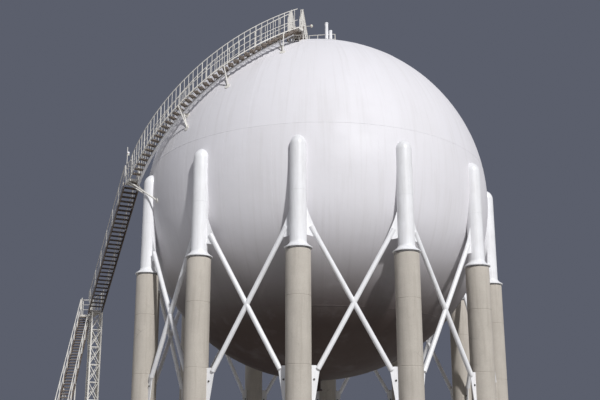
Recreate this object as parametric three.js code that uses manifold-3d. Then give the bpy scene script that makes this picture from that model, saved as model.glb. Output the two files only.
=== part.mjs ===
// A spherical gas tank on twelve braced legs, with the stair that climbs round it to the crown.
// Millimetres, +Z up. The sphere's axis is x 0, y 0 until the last lines centre the whole. The ground is z 0.
import * as THREE from "three";
import { mergeVertices } from "three/addons/utils/BufferGeometryUtils.js";
import Module from "manifold-3d";

const wasm = await Module();
wasm.setup();

// Clearance kept between two pieces that touch.
const GAP = 0.3;

// Sphere
const SPHERE_RADIUS = 9900;
const SHELL_PLATE = 40;
const CENTRE_HEIGHT = 15260;
const SHELL_SIDES = 36;
const LATITUDE_STEP = 11;
const ZONES = [
  { name: "shell_bottom_crown", low: -90, high: -43.5 },
  { name: "shell_equator_belt", low: -43.5, high: 9.3 },
  { name: "shell_upper_zone", low: 9.3, high: 52 },
  { name: "shell_top_crown", low: 52, high: 90 },
];

// Legs
const LEG_COUNT = 12;
const LEG_SPACING = 360 / LEG_COUNT;
const LEG_SIDES = 12;
const LEG_PIPE_RADIUS = 400;
const CASING_RADIUS = 580;
const CASING_TOP = 10570;
const CASING_CHAMFER = 40;
const BASE_PLATE = { width: 1400, thickness: 60 };
const SKIRT = { bottom: 10630, radius: 660, lip: 50, top: 10960 };
const CAP = { base: 15650, height: 550, steps: 3 };

// Braces, in the upright plane of a bay: distance from the leg's axis, then height.
const BRACE_RADIUS = 122;
const BRACE_SIDES = 6;
const BRACE_TOP = 12800;
const BRACE_FOOT = 3570;
const BRACE_TOP_TRIM = 600;
const BRACE_FOOT_TRIM = 880;
const GUSSET_PLATE = 40;
const UPPER_GUSSET = [
  [300, 12840],
  [400, 12660],
  [900, 11430],
  [692, 11230],
  [300, 11330],
];
const LOWER_FIN = [
  [CASING_RADIUS + GAP, 5320],
  [787, 5320],
  [970, 5213],
  [732, 3728],
  [CASING_RADIUS + GAP, 2790],
];

// Stairs and walkways
const TREAD_THICKNESS = 40;
const TREAD_OVERLAP = 1.05;
const STRINGER = { thickness: 50, above: 20, below: 265 };
const RAIL = { height: 1130, middle: 450, bar: 50, post: 36, rooting: 30, end: 90, inset: 50, span: 1600 };
const SLAB_THICKNESS = 120;
const FOOT_INSET = 60;
const ROUND_SIDES = 12;
const STRUT_RADIUS = 45;
const STRUT_SIDES = 4;

// How far a strut runs into the shell before its end is cut to the shell's face.
const STRUT_ROOTING = 200;

// Curved flight: its inner side follows these controls from the landing to the crown.
// Its outer stringer is a shallow bar, so that the treads show below it.
const CURVED_WIDTH = 544;
const CURVED_AZIMUTHS = [-61.3, -49.6, -36.6, -35.0, -7.3, -1.2];
const CURVED_CLEARANCES = [594, 198, 198, 733];
const CURVED_START = 940;
const CURVED_RISE = 8277;
const CURVED_RISERS = 39;
const CURVED_SEGMENTS = 15;
const CURVED_BRACKETS = [0.4, 0.65, 0.92];
const CURVED_DEPTHS = { left: STRINGER.below, right: 95 };
const BRACKET_FOOT = { azimuth: 2.5, latitude: -5.5 };
const CURVED_RAIL = { from: 0.01, to: 0.985 };

// The landing where the curved flight begins: its struts to a leg, its strut to the shell, its guard rails.
const LEG_STRUTS = { leg: 10, height: 14900, share: 0.25 };
const SHELL_STRUT = { azimuth: -54.0, latitude: -4.6, share: 0.6 };
const GUARD_SHARE = 0.9;

// Levels above the ground
const EQUATOR_LANDING_LEVEL = 16000;
const CROWN_LANDING_LEVEL = 23650;
const CROWN_LEVEL = 25360;
const TOWER_LEVEL = 9955;

// Straight flights, in plan
const UPPER_FLIGHT = { top: [-9973, -4155], bottom: [-14103, 2265], width: 820, risers: 31 };
const LOWER_FLIGHT = { top: [-15408, 4019], bottom: [-12155, -8114], width: 650, risers: 51 };
const CROWN_FLIGHT = { top: [-660, -3650], bottom: [-660, -5650], width: 700, risers: 9 };

// Landings, in plan
const EQUATOR_LANDING = [
  [-10259, -4465],
  [-9688, -3846],
  [-9300, -4853],
  [-9732, -5184],
];
const CROWN_LANDING = [
  [-653, -6261],
  [-255, -6632],
  [-60, -6420],
  [-310, -5650],
  [-1010, -5650],
];
const TOWER_LANDING = [
  [-13758, 2487],
  [-15273, 4842],
  [-15955, 4805],
  [-15722, 3935],
  [-15036, 4119],
  [-14448, 2043],
];
const TOWER = { centre: [-14100, 2490], size: 620, post: 80, panels: 3, brace: 25, knee: 0.75 };
const TRESTLE = { post: 80, brace: 30, tie: 0.9 };

// The riser where the lower flight is joined, over its trestle.
const LOWER_JOINT = 26;
const CROWN_PLATFORM = { left: -1400, right: 1400, front: -600, back: 2600 };
const MANWAY = { centre: [650, 1100], neck: 300, flange: 400, flanges: 120, top: 25800, hatch: 450 };
const VENTS = { tall: [979, -2901], short: [1209, -2883], radius: 95, tallTop: 25910, shortTop: 25402 };
const VENT_COLLAR = { radius: 107, height: 60 };
const VENT_HEADER = { level: 24815, radius: 57 };
const OUTLET = { neck: 255, flange: 350, bottom: 4760, flangeThickness: 70 };
const LAMP = { at: -1700, reach: 330, ball: 95, arm: 22 };

const radians = THREE.MathUtils.degToRad;
const UP = new THREE.Vector3(0, 0, 1);

/** A paint or concrete finish, faceted so that each flat face shows. */
function finish(color, roughness, metalness) {
  return new THREE.MeshStandardMaterial({ color, roughness, metalness, flatShading: true });
}

const WHITE_PAINT = finish(0xe9e9ee, 0.42, 0);
const PIPE_PAINT = finish(0xf2f2f5, 0.38, 0);
const CASING_CONCRETE = finish(0xb9b2a8, 0.92, 0);
const STAIR_PAINT = finish(0xd8d6d2, 0.5, 0);
const TREAD_STEEL = finish(0x6b5c52, 0.75, 0.2);

/** Six times the volume that a triangle list encloses, negative where it is inside out. */
function enclosed(points, corners) {
  const [a, b, c] = [new THREE.Vector3(), new THREE.Vector3(), new THREE.Vector3()];
  let total = 0;
  for (let i = 0; i < corners.length; i += 3) {
    a.fromArray(points, 3 * corners[i]);
    b.fromArray(points, 3 * corners[i + 1]);
    c.fromArray(points, 3 * corners[i + 2]);
    total += a.dot(b.cross(c));
  }
  return total;
}

/** A closed three.js geometry as a solid that can be joined and cut. */
function solidOf(geometry) {
  const loose = geometry.index ? geometry.toNonIndexed() : geometry;
  const bare = new THREE.BufferGeometry().setAttribute("position", loose.getAttribute("position"));
  const merged = mergeVertices(bare, 1e-3);
  const points = merged.getAttribute("position").array;
  const all = merged.index.array;
  const corners = [];
  for (let i = 0; i < all.length; i += 3) {
    const [a, b, c] = [all[i], all[i + 1], all[i + 2]];
    if (a !== b && b !== c && c !== a) corners.push(a, b, c);
  }
  if (enclosed(points, corners) < 0) corners.reverse();
  const triVerts = Uint32Array.from(corners);
  return new wasm.Manifold(new wasm.Mesh({ numProp: 3, vertProperties: points, triVerts }));
}

/** Joins solids into one. */
function join(solids) {
  return wasm.Manifold.union(solids);
}

/** A solid's surface as a three.js geometry. */
function geometryOf(solid) {
  const { vertProperties, triVerts } = solid.getMesh();
  const geometry = new THREE.BufferGeometry();
  geometry.setAttribute("position", new THREE.BufferAttribute(vertProperties, 3));
  geometry.setIndex(new THREE.BufferAttribute(triVerts, 1));
  geometry.computeVertexNormals();
  return geometry;
}

/** A named piece, turned about the sphere's axis by an azimuth in degrees. */
function piece(name, geometry, material, azimuth = 0) {
  const mesh = new THREE.Mesh(geometry, material);
  mesh.name = name;
  mesh.rotation.z = radians(azimuth);
  return mesh;
}

/** The point at an azimuth from -Y towards +X, a distance from the axis and a height. */
function around(azimuth, distance, height) {
  const angle = radians(azimuth);
  return new THREE.Vector3(distance * Math.sin(angle), -distance * Math.cos(angle), height);
}

/** The point of the sphere of the given radius at an azimuth and a latitude. */
function onSphere(azimuth, latitude, radius = SPHERE_RADIUS) {
  const tilt = radians(latitude);
  return around(azimuth, radius * Math.cos(tilt), CENTRE_HEIGHT + radius * Math.sin(tilt));
}

/** The radius of a regular prism whose flats lie at the given distance from its axis. */
function overFlats(flat, sides) {
  return flat / Math.cos(Math.PI / sides);
}

/** A profile of [radius, height] points turned about the axis. */
function turned(profile, sides) {
  const points = profile.map(([radius, height]) => new THREE.Vector2(radius, height));
  return solidOf(new THREE.LatheGeometry(points, sides).rotateX(Math.PI / 2));
}

/** A straight round bar between two points. */
function bar(from, to, radius, sides) {
  const axis = to.clone().sub(from);
  const geometry = new THREE.CylinderGeometry(radius, radius, axis.length(), sides);
  const turn = new THREE.Quaternion().setFromUnitVectors(new THREE.Vector3(0, 1, 0), axis.normalize());
  const middle = from.clone().add(to).multiplyScalar(0.5);
  return solidOf(geometry.applyQuaternion(turn).translate(...middle.toArray()));
}

/** A square post that stands at a point of the plan, turned to an angle in radians. */
function post([x, y], bottom, top, width, turn = 0) {
  const geometry = new THREE.BoxGeometry(width, width, top - bottom);
  return solidOf(geometry.rotateZ(turn).translate(x, y, (bottom + top) / 2));
}

/** A plate whose corners are [distance along, height] in an upright plane through a point. */
function uprightPlate(corners, origin, along, thickness) {
  const shape = new THREE.Shape(corners.map(([distance, height]) => new THREE.Vector2(distance, height)));
  const geometry = new THREE.ExtrudeGeometry(shape, { depth: thickness, bevelEnabled: false });
  geometry.translate(0, 0, -thickness / 2);
  const frame = new THREE.Matrix4().makeBasis(along, UP, along.clone().cross(UP));
  return solidOf(geometry.applyMatrix4(frame.setPosition(origin.x, origin.y, 0)));
}

/** The same outline with each edge moved outwards, or inwards by a negative distance. */
function widened(corners, distance) {
  const points = corners.map(([x, y]) => new THREE.Vector2(x, y));
  const outwards = THREE.ShapeUtils.area(points) > 0 ? distance : -distance;
  const normals = points.map((point, i) => {
    const edge = points[(i + 1) % points.length].clone().sub(point).normalize();
    return new THREE.Vector2(edge.y, -edge.x);
  });
  return points.map((point, i) => {
    const [before, after] = [normals.at(i - 1), normals[i]];
    const move = before.clone().add(after).multiplyScalar(outwards / (1 + before.dot(after)));
    return point.clone().add(move).toArray();
  });
}

/** A level slab with the given plan, its top at a level. */
function slab(plan, top, thickness = SLAB_THICKNESS) {
  const shape = new THREE.Shape(plan.map(([x, y]) => new THREE.Vector2(x, y)));
  const geometry = new THREE.ExtrudeGeometry(shape, { depth: thickness, bevelEnabled: false });
  return solidOf(geometry.translate(0, 0, top - thickness));
}

/** The room that a slab takes, with the clearance that its neighbours keep. */
function slabRoom(plan, top, thickness = SLAB_THICKNESS) {
  return slab(widened(plan, GAP), top + GAP, thickness + 2 * GAP);
}

/** An upright band that follows points, from below them to above them. */
function band(points, thickness, above, below) {
  const corners = points.map((point, i) => {
    const before = points[Math.max(i - 1, 0)];
    const after = points[Math.min(i + 1, points.length - 1)];
    const side = after.clone().sub(before).setZ(0).cross(UP).setLength(thickness / 2);
    return [
      point.clone().add(side).setZ(point.z - below),
      point.clone().sub(side).setZ(point.z - below),
      point.clone().sub(side).setZ(point.z + above),
      point.clone().add(side).setZ(point.z + above),
    ];
  });
  const faces = [];
  const quad = (a, b, c, d) => faces.push(a, b, c, a, c, d);
  quad(...corners[0]);
  quad(...corners.at(-1).slice().reverse());
  for (let i = 1; i < corners.length; i++) {
    for (let edge = 0; edge < 4; edge++) {
      const next = (edge + 1) % 4;
      quad(corners[i - 1][next], corners[i - 1][edge], corners[i][edge], corners[i][next]);
    }
  }
  return solidOf(new THREE.BufferGeometry().setFromPoints(faces));
}

/** Points that divide the way from one point to another evenly, as far apart as a railing's posts. */
function spaced(from, to) {
  const parts = Math.ceil(from.distanceTo(to) / RAIL.span);
  return Array.from({ length: parts + 1 }, (_, i) => from.clone().lerp(to, i / parts));
}

/** Where a railing's posts stand along a path with straight stretches. */
function postsAlong(path) {
  return path.flatMap((point, i) => (i ? spaced(path[i - 1], point).slice(1) : [point]));
}

/** The value at t of a Bezier curve with plain numbers as controls. */
function bezier(controls, t) {
  let row = controls;
  while (row.length > 1) row = row.slice(1).map((value, i) => THREE.MathUtils.lerp(row[i], value, t));
  return row[0];
}

/** One zone of the shell between two latitudes, with half a clearance at each seam. */
function shellZone({ low, high }) {
  const seam = THREE.MathUtils.radToDeg(GAP / 2 / SPHERE_RADIUS);
  const from = low === -90 ? low : low + seam;
  const to = high === 90 ? high : high - seam;
  const steps = Math.ceil((high - low) / LATITUDE_STEP);
  const arc = (radius) =>
    Array.from({ length: steps + 1 }, (_, i) => {
      const tilt = radians(THREE.MathUtils.lerp(from, to, i / steps));
      return [radius * Math.cos(tilt), CENTRE_HEIGHT + radius * Math.sin(tilt)];
    });
  const profile = [...arc(SPHERE_RADIUS), ...arc(SPHERE_RADIUS - SHELL_PLATE).reverse()];
  return turned([...profile, profile[0]], SHELL_SIDES);
}

/** The ball that other pieces are cut by, a clearance larger than the shell's facets. */
function shellRoom() {
  const radius = SPHERE_RADIUS + GAP;
  const profile = ZONES.flatMap(({ low, high }) => {
    const steps = Math.ceil((high - low) / LATITUDE_STEP);
    return Array.from({ length: steps }, (_, i) => {
      const tilt = radians(THREE.MathUtils.lerp(low, high, i / steps));
      return [radius * Math.cos(tilt), CENTRE_HEIGHT + radius * Math.sin(tilt)];
    });
  });
  return turned([...profile, [0, CENTRE_HEIGHT + radius]], SHELL_SIDES);
}

const SHELL_ROOM = shellRoom();

/** The direction from leg 0 along the bay on one side: 1 towards leg 1, -1 towards the last leg. */
function bayDirection(side) {
  return around(90 + LEG_SPACING / 2, 1, 0).multiply(new THREE.Vector3(side, 1, 1));
}

/** The pointed cap on top of a leg, as a tangent ogive. */
function capProfile(radius) {
  const curve = (radius ** 2 + CAP.height ** 2) / (2 * radius);
  return Array.from({ length: CAP.steps }, (_, i) => {
    const rise = (CAP.height * i) / CAP.steps;
    return [Math.sqrt(curve ** 2 - rise ** 2) + radius - curve, CAP.base + rise];
  });
}

/** The steel part of leg 0: pipe, rain skirt, cap and the two upper gussets, cut to the shell. */
function upperLeg() {
  const pipe = overFlats(LEG_PIPE_RADIUS, LEG_SIDES);
  const skirt = overFlats(SKIRT.radius, LEG_SIDES);
  const profile = [
    [0, CASING_TOP + GAP],
    [pipe, CASING_TOP + GAP],
    [pipe, SKIRT.bottom],
    [skirt, SKIRT.bottom],
    [skirt, SKIRT.bottom + SKIRT.lip],
    [pipe, SKIRT.top],
    ...capProfile(pipe),
    [0, CAP.base + CAP.height],
  ];
  const axis = around(0, SPHERE_RADIUS, 0);
  const gussets = [1, -1].map((side) => uprightPlate(UPPER_GUSSET, axis, bayDirection(side), GUSSET_PLATE));
  const leg = turned(profile, LEG_SIDES).translate(axis.toArray());
  return join([leg, ...gussets]).subtract(SHELL_ROOM);
}

/** The fireproofed part of leg 0 on its base plate. */
function fireproofedLeg() {
  const radius = overFlats(CASING_RADIUS, LEG_SIDES);
  const casing = turned(
    [
      [0, BASE_PLATE.thickness / 2],
      [radius, BASE_PLATE.thickness / 2],
      [radius, CASING_TOP - CASING_CHAMFER],
      [radius - CASING_CHAMFER, CASING_TOP],
      [0, CASING_TOP],
    ],
    LEG_SIDES,
  );
  const plate = post([0, 0], 0, BASE_PLATE.thickness, BASE_PLATE.width);
  return join([casing, plate]).translate([0, -SPHERE_RADIUS, 0]);
}

/** The crossed pipes of the bay between legs 0 and 1, with the fins on their lower ends. */
function crossBrace() {
  const legs = [around(0, SPHERE_RADIUS, 0), around(LEG_SPACING, SPHERE_RADIUS, 0)];
  const span = legs[0].distanceTo(legs[1]);
  const slope = (BRACE_TOP - BRACE_FOOT) / span;
  const pieces = [];
  const room = [];
  for (const [near, far] of [legs, [...legs].reverse()]) {
    const along = far.clone().sub(near).normalize();
    const [from, to] = [BRACE_TOP_TRIM, span - BRACE_FOOT_TRIM].map((distance) =>
      near.clone().addScaledVector(along, distance).setZ(BRACE_TOP - slope * distance),
    );
    pieces.push(bar(from, to, BRACE_RADIUS, BRACE_SIDES));
    pieces.push(uprightPlate(LOWER_FIN, near, along, GUSSET_PLATE));
    room.push(uprightPlate(widened(UPPER_GUSSET, GAP), near, along, GUSSET_PLATE + 2 * GAP));
  }
  return join(pieces).subtract(join(room));
}

/** The two sides of a straight flight at a share of its length, from bottom to top. */
function straightFlight({ top, bottom, width }, low, high) {
  const foot = new THREE.Vector3(...bottom, low);
  const head = new THREE.Vector3(...top, high);
  const right = head.clone().sub(foot).setZ(0).cross(UP).setLength(width / 2);
  return (share) => {
    const middle = foot.clone().lerp(head, share);
    return { left: middle.clone().sub(right), right: middle.clone().add(right) };
  };
}

/** The two sides of the curved flight at a share of its rise. The left side is next to the shell. */
function curvedFlight(share) {
  const innerAt = (part) => {
    const height = THREE.MathUtils.lerp(EQUATOR_LANDING_LEVEL, CROWN_LANDING_LEVEL, part) - CENTRE_HEIGHT;
    const t = (height - CURVED_START) / CURVED_RISE;
    const reach = SPHERE_RADIUS + bezier(CURVED_CLEARANCES, t);
    return around(bezier(CURVED_AZIMUTHS, t), Math.sqrt(reach ** 2 - height ** 2), CENTRE_HEIGHT + height);
  };
  const step = 0.01;
  const heading = innerAt(share + step).sub(innerAt(share - step)).setZ(0);
  const left = innerAt(share);
  return { left, right: left.clone().add(heading.cross(UP).setLength(CURVED_WIDTH)) };
}

/** Points along one side of a flight between two shares of its length. */
function sidePoints(sides, side, segments, from = 0, to = 1) {
  return Array.from({ length: segments + 1 }, (_, i) => sides(from + ((to - from) * i) / segments)[side]);
}

/** A flat tread across a flight, between two shares of its length. */
function tread(sides, from, to, top) {
  const [front, back] = [sides(from), sides(to)];
  const plan = [front.left, front.right, back.right, back.left].map(({ x, y }) => [x, y]);
  return slab(plan, top, TREAD_THICKNESS);
}

const EVEN_DEPTHS = { left: STRINGER.below, right: STRINGER.below };

/** Two stringers and the treads between them, from one riser of a flight to another. */
function flight(sides, low, high, risers, segments, first = 0, last = risers, depths = EVEN_DEPTHS) {
  const joint = GAP / sides(0).left.distanceTo(sides(1).left);
  const [from, to] = [first ? first / risers + joint : 0, last / risers];
  const pieces = ["left", "right"].map((side) =>
    band(sidePoints(sides, side, segments, from, to), STRINGER.thickness, STRINGER.above, depths[side]),
  );
  for (let i = Math.max(first, 1); i < last; i++) {
    const level = THREE.MathUtils.lerp(low, high, i / risers);
    const end = last < risers ? Math.min((i + TREAD_OVERLAP) / risers, to) : (i + TREAD_OVERLAP) / risers;
    pieces.push(tread(sides, Math.max(i / risers, from), end, level));
  }
  return join(pieces);
}

/** The room that a flight's stringer takes, a little longer than the stringer. */
function stringerRoom(points) {
  const first = points[0].clone().lerp(points[1], -0.2);
  const last = points.at(-1).clone().lerp(points.at(-2), -0.2);
  const thickness = STRINGER.thickness + 2 * GAP;
  return band([first, ...points, last], thickness, STRINGER.above + GAP, STRINGER.below + GAP);
}

/** A railing above points of the floor: two bars that follow the path, and a post at each foot. */
function railing(path, feet = postsAlong(path)) {
  const raised = (height) => path.map((point) => point.clone().setZ(point.z + height));
  const bars = [RAIL.height, RAIL.middle].map((height) => band(raised(height), RAIL.bar, 0, RAIL.bar));
  const posts = feet.map(({ x, y, z }, i) => {
    const [before, after] = [feet[Math.max(i - 1, 0)], feet[Math.min(i + 1, feet.length - 1)]];
    const turn = Math.atan2(after.y - before.y, after.x - before.x);
    return post([x, y], z - RAIL.rooting, z + RAIL.height - RAIL.bar / 2, RAIL.post, turn);
  });
  return join([...bars, ...posts]);
}

/** A strut from a point to the shell, with its end cut to the shell's face. */
function strutToShell(from, azimuth, latitude) {
  return bar(from, onSphere(azimuth, latitude, SPHERE_RADIUS - STRUT_ROOTING), STRUT_RADIUS, STRUT_SIDES);
}

/** The azimuth and latitude of a point, in degrees. */
function bearing({ x, y, z }) {
  const level = z - CENTRE_HEIGHT;
  return {
    azimuth: THREE.MathUtils.radToDeg(Math.atan2(x, -y)),
    latitude: THREE.MathUtils.radToDeg(Math.atan2(level, Math.hypot(x, y))),
  };
}

/** The curved flight with the raking brackets that hold it off the shell. */
function curvedFlightSolid() {
  const levels = [EQUATOR_LANDING_LEVEL, CROWN_LANDING_LEVEL];
  const reach = [0, CURVED_RISERS];
  const steps = flight(curvedFlight, ...levels, CURVED_RISERS, CURVED_SEGMENTS, ...reach, CURVED_DEPTHS);
  const brackets = CURVED_BRACKETS.flatMap((share) => {
    const ends = curvedFlight(share);
    const { azimuth, latitude } = bearing(ends.left);
    const foot = [azimuth + BRACKET_FOOT.azimuth, latitude + BRACKET_FOOT.latitude];
    return ["left", "right"].map((side) => {
      const top = ends[side].setZ(ends[side].z - CURVED_DEPTHS[side] / 2);
      return strutToShell(top, ...foot);
    });
  });
  return join([steps, ...brackets])
    .subtract(SHELL_ROOM)
    .subtract(slabRoom(EQUATOR_LANDING, EQUATOR_LANDING_LEVEL))
    .subtract(slabRoom(CROWN_LANDING, CROWN_LANDING_LEVEL));
}

/** The railing on one side of the curved flight. */
function curvedRail(side) {
  const path = sidePoints(curvedFlight, side, CURVED_SEGMENTS, CURVED_RAIL.from, CURVED_RAIL.to);
  return railing(path, path.filter((_, i) => i % 2 === 0 || i === path.length - 1))
    .subtract(stringerRoom(sidePoints(curvedFlight, side, CURVED_SEGMENTS)))
    .subtract(slabRoom(EQUATOR_LANDING, EQUATOR_LANDING_LEVEL))
    .subtract(slabRoom(CROWN_LANDING, CROWN_LANDING_LEVEL));
}

/** The line of a guard rail round a slab, from the plan's first corner. */
function guardLine(plan, level) {
  return widened(plan, -RAIL.inset).map(([x, y]) => new THREE.Vector3(x, y, level));
}

/** The small landing where the curved flight begins, with its rails and the struts to the shell and a leg. */
function equatorLanding() {
  const guard = guardLine(EQUATOR_LANDING, EQUATOR_LANDING_LEVEL);
  const [outerHead, innerHead, innerFoot, outerFoot] = guard;
  const rails = [
    [outerHead, outerHead.clone().lerp(outerFoot, GUARD_SHARE)],
    [innerHead, innerHead.clone().lerp(innerFoot, GUARD_SHARE)],
  ].map((ends) => railing(ends));
  const low = EQUATOR_LANDING_LEVEL - SLAB_THICKNESS / 2;
  const under = (from, to, share) => from.clone().lerp(to, share).setZ(low);
  const legAxis = around(LEG_STRUTS.leg * LEG_SPACING, SPHERE_RADIUS, LEG_STRUTS.height);
  const legRoom = turned(
    [
      [0, CASING_TOP],
      [overFlats(LEG_PIPE_RADIUS + GAP, LEG_SIDES), CASING_TOP],
      [overFlats(LEG_PIPE_RADIUS + GAP, LEG_SIDES), CAP.base],
      [0, CAP.base],
    ],
    LEG_SIDES,
  ).translate([legAxis.x, legAxis.y, 0]);
  return join([
    slab(EQUATOR_LANDING, EQUATOR_LANDING_LEVEL),
    ...rails,
    strutToShell(under(outerHead, outerFoot, SHELL_STRUT.share), SHELL_STRUT.azimuth, SHELL_STRUT.latitude),
    bar(under(outerHead, outerFoot, LEG_STRUTS.share), legAxis, STRUT_RADIUS, STRUT_SIDES),
    bar(under(innerHead, innerFoot, LEG_STRUTS.share), legAxis, STRUT_RADIUS, STRUT_SIDES),
  ])
    .subtract(SHELL_ROOM)
    .subtract(legRoom);
}

/** A straight flight between two levels, cut clear of the landings that it meets and of the ground. */
function straightFlightSolid(plan, low, high, rooms, ...part) {
  const steps = flight(straightFlight(plan, low, high), low, high, plan.risers, 1, ...part);
  return rooms.reduce((solid, room) => solid.subtract(room), steps).trimByPlane(UP.toArray(), 0);
}

/** The railing on one side of a straight flight. */
function straightRail(plan, low, high, side, rooms) {
  const sides = straightFlight(plan, low, high);
  const inset = RAIL.end / sides(0)[side].distanceTo(sides(1)[side]);
  const rail = railing(sidePoints(sides, side, 1, inset, 1 - inset));
  const edge = stringerRoom(sidePoints(sides, side, 1));
  return [edge, ...rooms].reduce((solid, room) => solid.subtract(room), rail);
}

/** The four corners of the lattice tower in plan, square to the upper flight. */
function towerCorners() {
  const top = new THREE.Vector2(...UPPER_FLIGHT.top);
  const heading = new THREE.Vector2(...UPPER_FLIGHT.bottom).sub(top).angle();
  const centre = new THREE.Vector2(...TOWER.centre);
  return [0, 1, 2, 3].map((i) => {
    const reach = new THREE.Vector2(TOWER.size / 2, TOWER.size / 2);
    return reach.rotateAround(new THREE.Vector2(), heading + (i * Math.PI) / 2).add(centre);
  });
}

/** The point of the tower at a corner of its plan and a share of its height. */
function towerPoint({ x, y }, share) {
  const height = TOWER_LEVEL - SLAB_THICKNESS - TOWER.post;
  return new THREE.Vector3(x, y, share * height + TOWER.post / 2);
}

/** The lattice tower, its bars thicker by a clearance: four posts, and two bars in each side of a panel. */
function towerLattice(clearance) {
  const corners = towerCorners();
  const turn = corners[1].clone().sub(corners[0]).angle();
  const top = TOWER_LEVEL - SLAB_THICKNESS - GAP;
  const width = TOWER.post + 2 * clearance;
  const pieces = corners.map((corner) => post(corner.toArray(), 0, top + clearance, width, turn));
  const brace = (from, to) => bar(from, to, TOWER.brace + 2 * clearance, STRUT_SIDES);
  corners.forEach((corner, i) => {
    const next = corners[(i + 1) % 4];
    for (let panel = 0; panel < TOWER.panels; panel++) {
      const [low, high] = [panel / TOWER.panels, (panel + 1) / TOWER.panels];
      const [from, to] = panel % 2 ? [corner, next] : [next, corner];
      pieces.push(brace(towerPoint(from, low), towerPoint(to, high)));
      pieces.push(brace(towerPoint(corner, high), towerPoint(next, high)));
    }
  });
  return join(pieces);
}

/** The landing on top of the tower, with its rails and the two knees that hold up its far end. */
function towerLanding() {
  const corners = towerCorners();
  const low = TOWER_LEVEL - SLAB_THICKNESS / 2;
  const far = TOWER_LANDING[1].map((value, i) => (value + TOWER_LANDING[3][i]) / 2);
  const knees = [corners[0], corners[2]].map((corner) => {
    const [foot, head] = [towerPoint(corner, TOWER.knee), new THREE.Vector3(...far, low)];
    const face = TOWER.post / 2 / foot.distanceTo(head);
    return bar(foot.clone().lerp(head, face), head, STRUT_RADIUS, STRUT_SIDES);
  });
  const guard = guardLine(TOWER_LANDING, TOWER_LEVEL);
  const rails = [railing(guard.slice(0, 4)), railing(guard.slice(4))];
  return join([slab(TOWER_LANDING, TOWER_LEVEL), ...rails, ...knees]).subtract(towerLattice(GAP));
}

/** The lower half of the lowest flight, which stands on the ground. */
function lowerFlightFoot() {
  return straightFlightSolid(LOWER_FLIGHT, 0, TOWER_LEVEL, [], 0, LOWER_JOINT);
}

/** The upper half of the lowest flight, with the trestle under its foot. */
function lowerFlightHead() {
  const { risers } = LOWER_FLIGHT;
  const rooms = [slabRoom(TOWER_LANDING, TOWER_LEVEL)];
  const steps = straightFlightSolid(LOWER_FLIGHT, 0, TOWER_LEVEL, rooms, LOWER_JOINT, risers);
  const { left, right } = straightFlight(LOWER_FLIGHT, 0, TOWER_LEVEL)((LOWER_JOINT + 1) / risers);
  const top = left.z - STRINGER.below / 2;
  const turn = Math.atan2(right.y - left.y, right.x - left.x);
  const posts = [left, right].map(({ x, y }) => post([x, y], 0, top, TRESTLE.post, turn));
  const low = TRESTLE.post / 2;
  const crossed = [
    [low, top / 2],
    [top * TRESTLE.tie, top / 2],
    [low, low],
  ].map(([from, to]) => bar(left.clone().setZ(from), right.clone().setZ(to), TRESTLE.brace, STRUT_SIDES));
  return join([steps, ...posts, ...crossed]);
}

/** The plan of the level gangway between the crown's steps and its platform. */
function gangwayPlan() {
  const [x, y] = CROWN_FLIGHT.top;
  const half = CROWN_FLIGHT.width / 2;
  return [
    [x - half, y],
    [x + half, y],
    [x + half, CROWN_PLATFORM.front - GAP],
    [x - half, CROWN_PLATFORM.front - GAP],
  ];
}

/** The landing, steps and gangway that lead from the curved flight to the platform on the crown. */
function crownWalkway() {
  const [x, y] = CROWN_FLIGHT.top;
  const half = CROWN_FLIGHT.width / 2;
  const sides = straightFlight(CROWN_FLIGHT, CROWN_LANDING_LEVEL, CROWN_LEVEL);
  const rows = [
    [CROWN_FLIGHT.bottom[1] - FOOT_INSET, CROWN_LANDING_LEVEL],
    [y + FOOT_INSET, CROWN_LEVEL],
    [y / 2, CROWN_LEVEL],
  ];
  const feet = rows.flatMap(([along, level]) =>
    [x - half + FOOT_INSET, x + half - FOOT_INSET].map((across) => {
      const top = new THREE.Vector3(across, along, level - SLAB_THICKNESS / 2);
      const { azimuth, latitude } = bearing(top);
      return strutToShell(top, azimuth, latitude);
    }),
  );
  return join([
    slab(CROWN_LANDING, CROWN_LANDING_LEVEL),
    flight(sides, CROWN_LANDING_LEVEL, CROWN_LEVEL, CROWN_FLIGHT.risers, 1),
    slab(gangwayPlan(), CROWN_LEVEL),
    ...feet,
  ]).subtract(SHELL_ROOM);
}

/** A railing of the crown walkway, with the lamp arm on the right side. */
function crownRail(side, rooms) {
  const edge = (CROWN_FLIGHT.width - RAIL.bar) / 2;
  const x = CROWN_FLIGHT.top[0] + (side === "left" ? -edge : edge);
  const at = (y, z) => new THREE.Vector3(x, y, z);
  const foot = at(CROWN_FLIGHT.bottom[1], CROWN_LANDING_LEVEL);
  const head = at(CROWN_FLIGHT.top[1], CROWN_LEVEL);
  const end = at(CROWN_PLATFORM.front - RAIL.end, CROWN_LEVEL);
  const landing = guardLine(CROWN_LANDING, CROWN_LANDING_LEVEL).slice(1, 3);
  const corners = side === "right" ? [landing[0].lerp(landing[1], 0.5), landing[1]] : [];
  const pieces = [railing([...corners, foot, head, end])];
  if (side === "right") {
    const root = at(LAMP.at, CROWN_LEVEL + RAIL.height - RAIL.bar / 2);
    const tip = root.clone().setX(root.x + LAMP.reach);
    pieces.push(bar(root, tip, LAMP.arm, 6));
    pieces.push(solidOf(new THREE.SphereGeometry(LAMP.ball, 8, 6).translate(...tip.toArray())));
  }
  return rooms.reduce((solid, room) => solid.subtract(room), join(pieces));
}

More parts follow.
